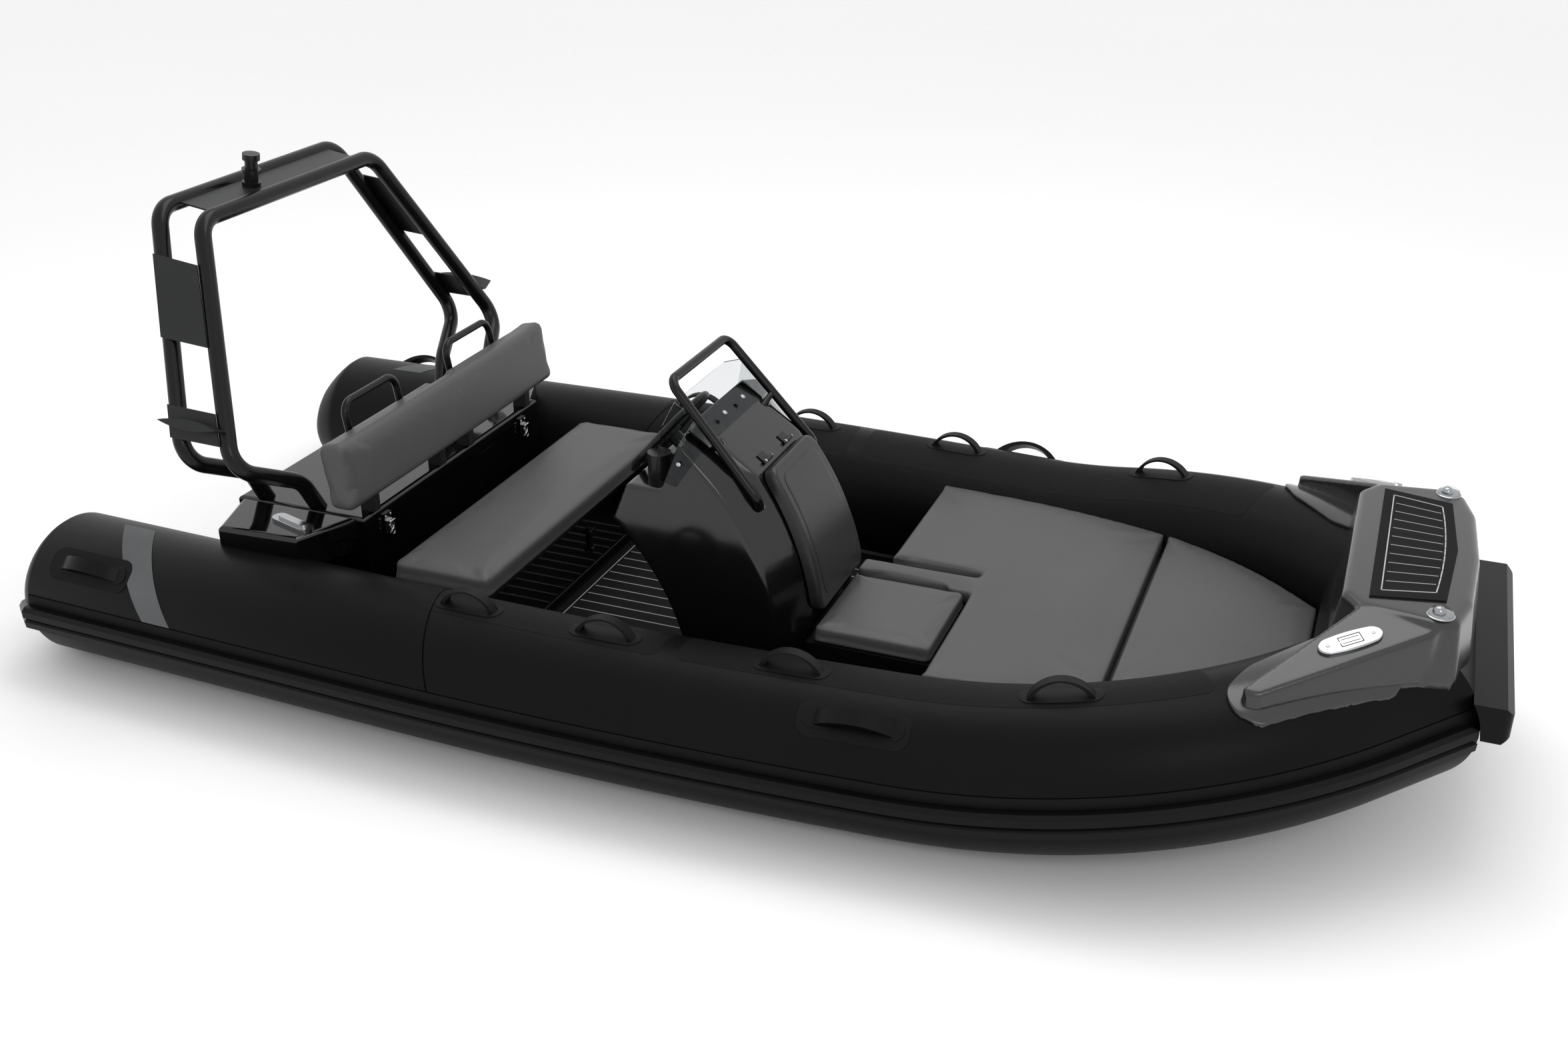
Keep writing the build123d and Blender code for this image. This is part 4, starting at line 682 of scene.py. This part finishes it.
PULL = Vector((-0.835, 0.150, 0.214))
bm = rounded_sheet(0.096, 0.030, 0.008, 0.009, 0.03, 0.003)
bmesh.ops.transform(bm, verts=bm.verts, matrix=Matrix.Translation(PULL) @ Matrix(
    ((0, 0, 1), (0, -1, 0), (1, 0, 0))).to_4x4())
rod(bm, PULL + Vector((0.010, -0.024, 0.036)), PULL + Vector((0.010, 0.024, 0.036)), 0.008)
rod(bm, PULL + Vector((0.009, -0.014, -0.040)), PULL + Vector((0.009, 0.014, -0.040)), 0.010)
piece(bm, "bench_pull", strake_rubber)

# Bow lights: a polished seat and reflector under a clear dome
bm = bmesh.new()
for side in (1, -1):
    dome(bm, (2.099, side * 0.421, 0.783), UP, 0.038, 0.006)
    dome(bm, (2.094, side * 0.418, 0.788), UP, 0.018, 0.019)
seats = piece(bm, "bow_light_seats", polished_steel)
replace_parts(seats, "nav_lights")
bm = bmesh.new()
for side in (1, -1):
    dome(bm, (2.099, side * 0.421, 0.784), UP, 0.0345, 0.026)
piece(bm, "bow_light_domes", clear_acrylic)

# Bow cleats: an oval polished plate on each wing with two screws; the drop-down bar let into it is shown only
# by painted shade in its slot
WING_ALONG = Vector((0.858, -0.5137, 0.457 * 0.5137)).normalized()
WING_UP = Vector((0, 0.457, 1)).normalized()
ON_WING = Matrix.Translation((1.881, 0.555, 0.7238)) @ Matrix(
    (WING_ALONG, WING_UP.cross(WING_ALONG), WING_UP)).transposed().to_4x4()
bm = rounded_sheet(0.186, 0.062, 0.030, 0.012, 0.02, 0.005)
for vert in bm.verts:
    vert.co.y *= 1 - 0.30 * (vert.co.x / 0.093) ** 2
for x in (-0.066, 0.066):
    dome(bm, (x, 0, 0.0112), UP, 0.0055, 0.002)
bmesh.ops.transform(bm, matrix=ON_WING, verts=bm.verts)
starboard_too(bm)
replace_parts(piece(bm, "bow_cleat_plates", polished_steel), "bow_cleats")
bm = bmesh.new()
# Painted shade in the slot round the bar and along its edges: place along and across the plate, length and
# width
BAR_SLOT_SHADE = (
    (0, 0.015, 0.062, 0.0022), (0, -0.015, 0.062, 0.0022), (0.031, 0, 0.0022, 0.032),
    (-0.031, 0.0095, 0.0022, 0.013), (-0.031, -0.0095, 0.0022, 0.013),
    (0, 0.0065, 0.05, 0.0016), (0, -0.0065, 0.05, 0.0016),
)
for x, y, length, width in BAR_SLOT_SHADE:
    place = Matrix.Translation((x, y, 0.0114)) @ Matrix.Diagonal((length, width, 0.0012, 1))
    bmesh.ops.create_cube(bm, size=1, matrix=ON_WING @ place)
starboard_too(bm)
# Flat black strips that paint the shade of the slot round the cleat bar
piece(bm, "bow_cleat_slot_shade", seam_and_slot_shade, smooth=False)


# Pressure in a cushion, and the frames it is given to fill
STUFFING_PRESSURE = 4.0
STUFFING_FRAMES = 20


def swell(source, name, shrink, voxel, cap, body):
    # A foam cushion in vinyl: the solid drawn in a little, then blown up as cloth over a fixed underside
    bm = bmesh.new()
    bm.from_mesh(frame["nodes"][source].data)
    bmesh.ops.remove_doubles(bm, verts=bm.verts, dist=WELD)
    low, high = (Vector(c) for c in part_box(source))
    middle, size = (low + high) / 2, high - low
    smaller = [(s - 2 * shrink) / s for s in size]
    smaller[2] = (size.z - shrink) / size.z
    bmesh.ops.scale(bm, vec=smaller, verts=bm.verts, space=Matrix.Translation((-middle.x, -middle.y, -low.z)))
    made = piece(bm, name, marine_vinyl, body)
    skin = evened(made, voxel)
    rest = [v.co.copy() for v in skin.vertices]
    floor = min(co.z for co in rest)
    pinned = made.vertex_groups.new(name="underside")
    pinned.add([i for i, co in enumerate(rest) if co.z < floor + voxel * 0.6], 1.0, "REPLACE")
    cloth = made.modifiers.new("stuffing", "CLOTH")
    cloth.settings.use_pressure = True
    cloth.settings.uniform_pressure_force = STUFFING_PRESSURE
    cloth.settings.vertex_group_mass = "underside"
    cloth.settings.effector_weights.gravity = 0
    for step in range(1, STUFFING_FRAMES + 1):
        scene.frame_set(step)
    blown = made.evaluated_get(bpy.context.evaluated_depsgraph_get()).data
    moved = [v.co.copy() for v in blown.vertices]
    made.modifiers.clear()
    made.vertex_groups.clear()
    scene.frame_set(1)
    for vert, old, new in zip(skin.vertices, rest, moved):
        shift = new - old
        if shift.length > cap:
            shift *= cap / shift.length
        vert.co = old + shift
    skin.materials.clear()
    skin.materials.append(marine_vinyl)
    skin.polygons.foreach_set("use_smooth", [True] * len(skin.polygons))
    finer = made.modifiers.new("soft_skin", "SUBSURF")
    finer.levels = finer.render_levels = 1
    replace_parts(made, source)
    return made


swell("bow_cushion", "bow_cushion_cover", 0.003, 0.010, 0.005, "boat")
swell("bow_tip_cushion", "bow_tip_cover", 0.003, 0.010, 0.005, "boat")
swell("front_seat_cushion", "front_seat_cover", 0.003, 0.007, 0.006, "boat")
swell("bench_cushion", "bench_cover", 0.004, 0.010, 0.008, "bench_lid")
swell("backrest", "backrest_cover", 0.004, 0.010, 0.008, "boat")


# Pale lines stand this far above and below the top of a pad
LINE_LIFT = 0.0008
DECK_PAD_TOP, STEP_PAD_TOP = 0.055, 0.787
# Distance between the lines of the deck pads, and their gap to the border
PLANK, PLANK_GAP = 0.061, 0.012


def inlay(name, lines, height, width=0.0035):
    # Pale routed lines laid flush on a pad, each from one plan point to another
    bm = bmesh.new()
    for (x0, y0), (x1, y1) in lines:
        along = Vector((x1 - x0, y1 - y0, 0))
        turn = Matrix.Rotation(math.atan2(along.y, along.x), 4, "Z")
        size = Matrix.Diagonal((along.length + width, width, LINE_LIFT * 2, 1))
        place = Matrix.Translation(((x0 + x1) / 2, (y0 + y1) / 2, height))
        bmesh.ops.create_cube(bm, size=1, matrix=place @ turn @ size)
    return piece(bm, name, foam_line, smooth=False)


def framed(x0, x1, y0, y1):
    # A border with fore-and-aft lines inside it
    lines = [((x0, y0), (x1, y0)), ((x1, y0), (x1, y1)), ((x1, y1), (x0, y1)), ((x0, y1), (x0, y0))]
    count = max(2, round((y1 - y0) / PLANK))
    for k in range(1, count):
        y = y0 + (y1 - y0) * k / count
        lines.append(((x0 + PLANK_GAP, y), (x1 - PLANK_GAP, y)))
    return lines


deck_lines = framed(-0.797, -0.120, -0.572, 0.572) + framed(-0.068, 0.260, 0.084, 0.572)
inlay("deck_pad_lines", deck_lines, DECK_PAD_TOP)

# Step pad: aft border and its half width, front corners and their half width, bow of the front border
PAD_AFT, PAD_AFT_HALF = 1.939, 0.338
PAD_FRONT, PAD_FRONT_HALF, PAD_BOW = 2.083, 0.300, 0.016
PAD_GAPS = 11


def pad_front(y):
    # Bowed front border of the step pad
    return PAD_FRONT + PAD_BOW * (1 - (y / PAD_FRONT_HALF) ** 2)


border = [(PAD_AFT, PAD_AFT_HALF), (PAD_AFT, -PAD_AFT_HALF)]
border += [(pad_front(k * 0.05), k * 0.05) for k in range(-6, 7)]
inlay("step_pad_border", list(zip(border, border[1:] + border[:1])), STEP_PAD_TOP)
step_lines = []
for k in range(1, PAD_GAPS):
    y = -PAD_AFT_HALF + 2 * PAD_AFT_HALF * k / PAD_GAPS
    step_lines.append(((PAD_AFT + 0.010, y), (pad_front(y * 0.90) - 0.008, y * 0.90)))
inlay("step_pad_lines", step_lines, STEP_PAD_TOP, width=0.0022)

# Plain floor, soft studio light and the camera
bm = bmesh.new()
bmesh.ops.create_circle(bm, cap_ends=True, segments=64, radius=60)
mesh = bpy.data.meshes.new("floor")
bm.to_mesh(mesh)
bm.free()
mesh.materials.append(surface("pale_floor", "#f2f2f2", "#f6f6f6", 30, 4000, 0.01, 0.7))
floor = bpy.data.objects.new("floor", mesh)
scene.collection.objects.link(floor)

world = bpy.data.worlds.new("studio")
scene.world = world
world.use_nodes = True
world.node_tree.nodes["Background"].inputs["Color"].default_value = linear("#ffffff")
world.node_tree.nodes["Background"].inputs["Strength"].default_value = 1.0


def softbox(name, spot, aim, size, watts):
    # A broad lamp turned to a point
    lamp = bpy.data.lights.new(name, "AREA")
    lamp.shape = "RECTANGLE"
    lamp.size, lamp.size_y = size
    lamp.energy = watts
    holder = bpy.data.objects.new(name, lamp)
    scene.collection.objects.link(holder)
    holder.location = spot
    holder.rotation_euler = (Vector(aim) - Vector(spot)).to_track_quat("-Z", "Y").to_euler()


softbox("overhead", (0.4, 1.2, 6.0), (0, 0, 0), (6, 3), 130)
softbox("near_side", (4.5, -5.5, 5.0), (0.6, 0, 0.4), (3, 2), 60)

lens = bpy.data.cameras.new("photo_view")
lens.sensor_width = 36
lens.lens = 37.517
camera = bpy.data.objects.new("photo_view", lens)
scene.collection.objects.link(camera)
yaw, pitch = math.radians(21.475), math.radians(25.929)
camera.location = (1.859, -4.7, 2.956)
aim = Vector((-math.sin(yaw) * math.cos(pitch), math.cos(yaw) * math.cos(pitch), -math.sin(pitch)))
camera.rotation_euler = aim.to_track_quat("-Z", "Y").to_euler()
scene.camera = camera
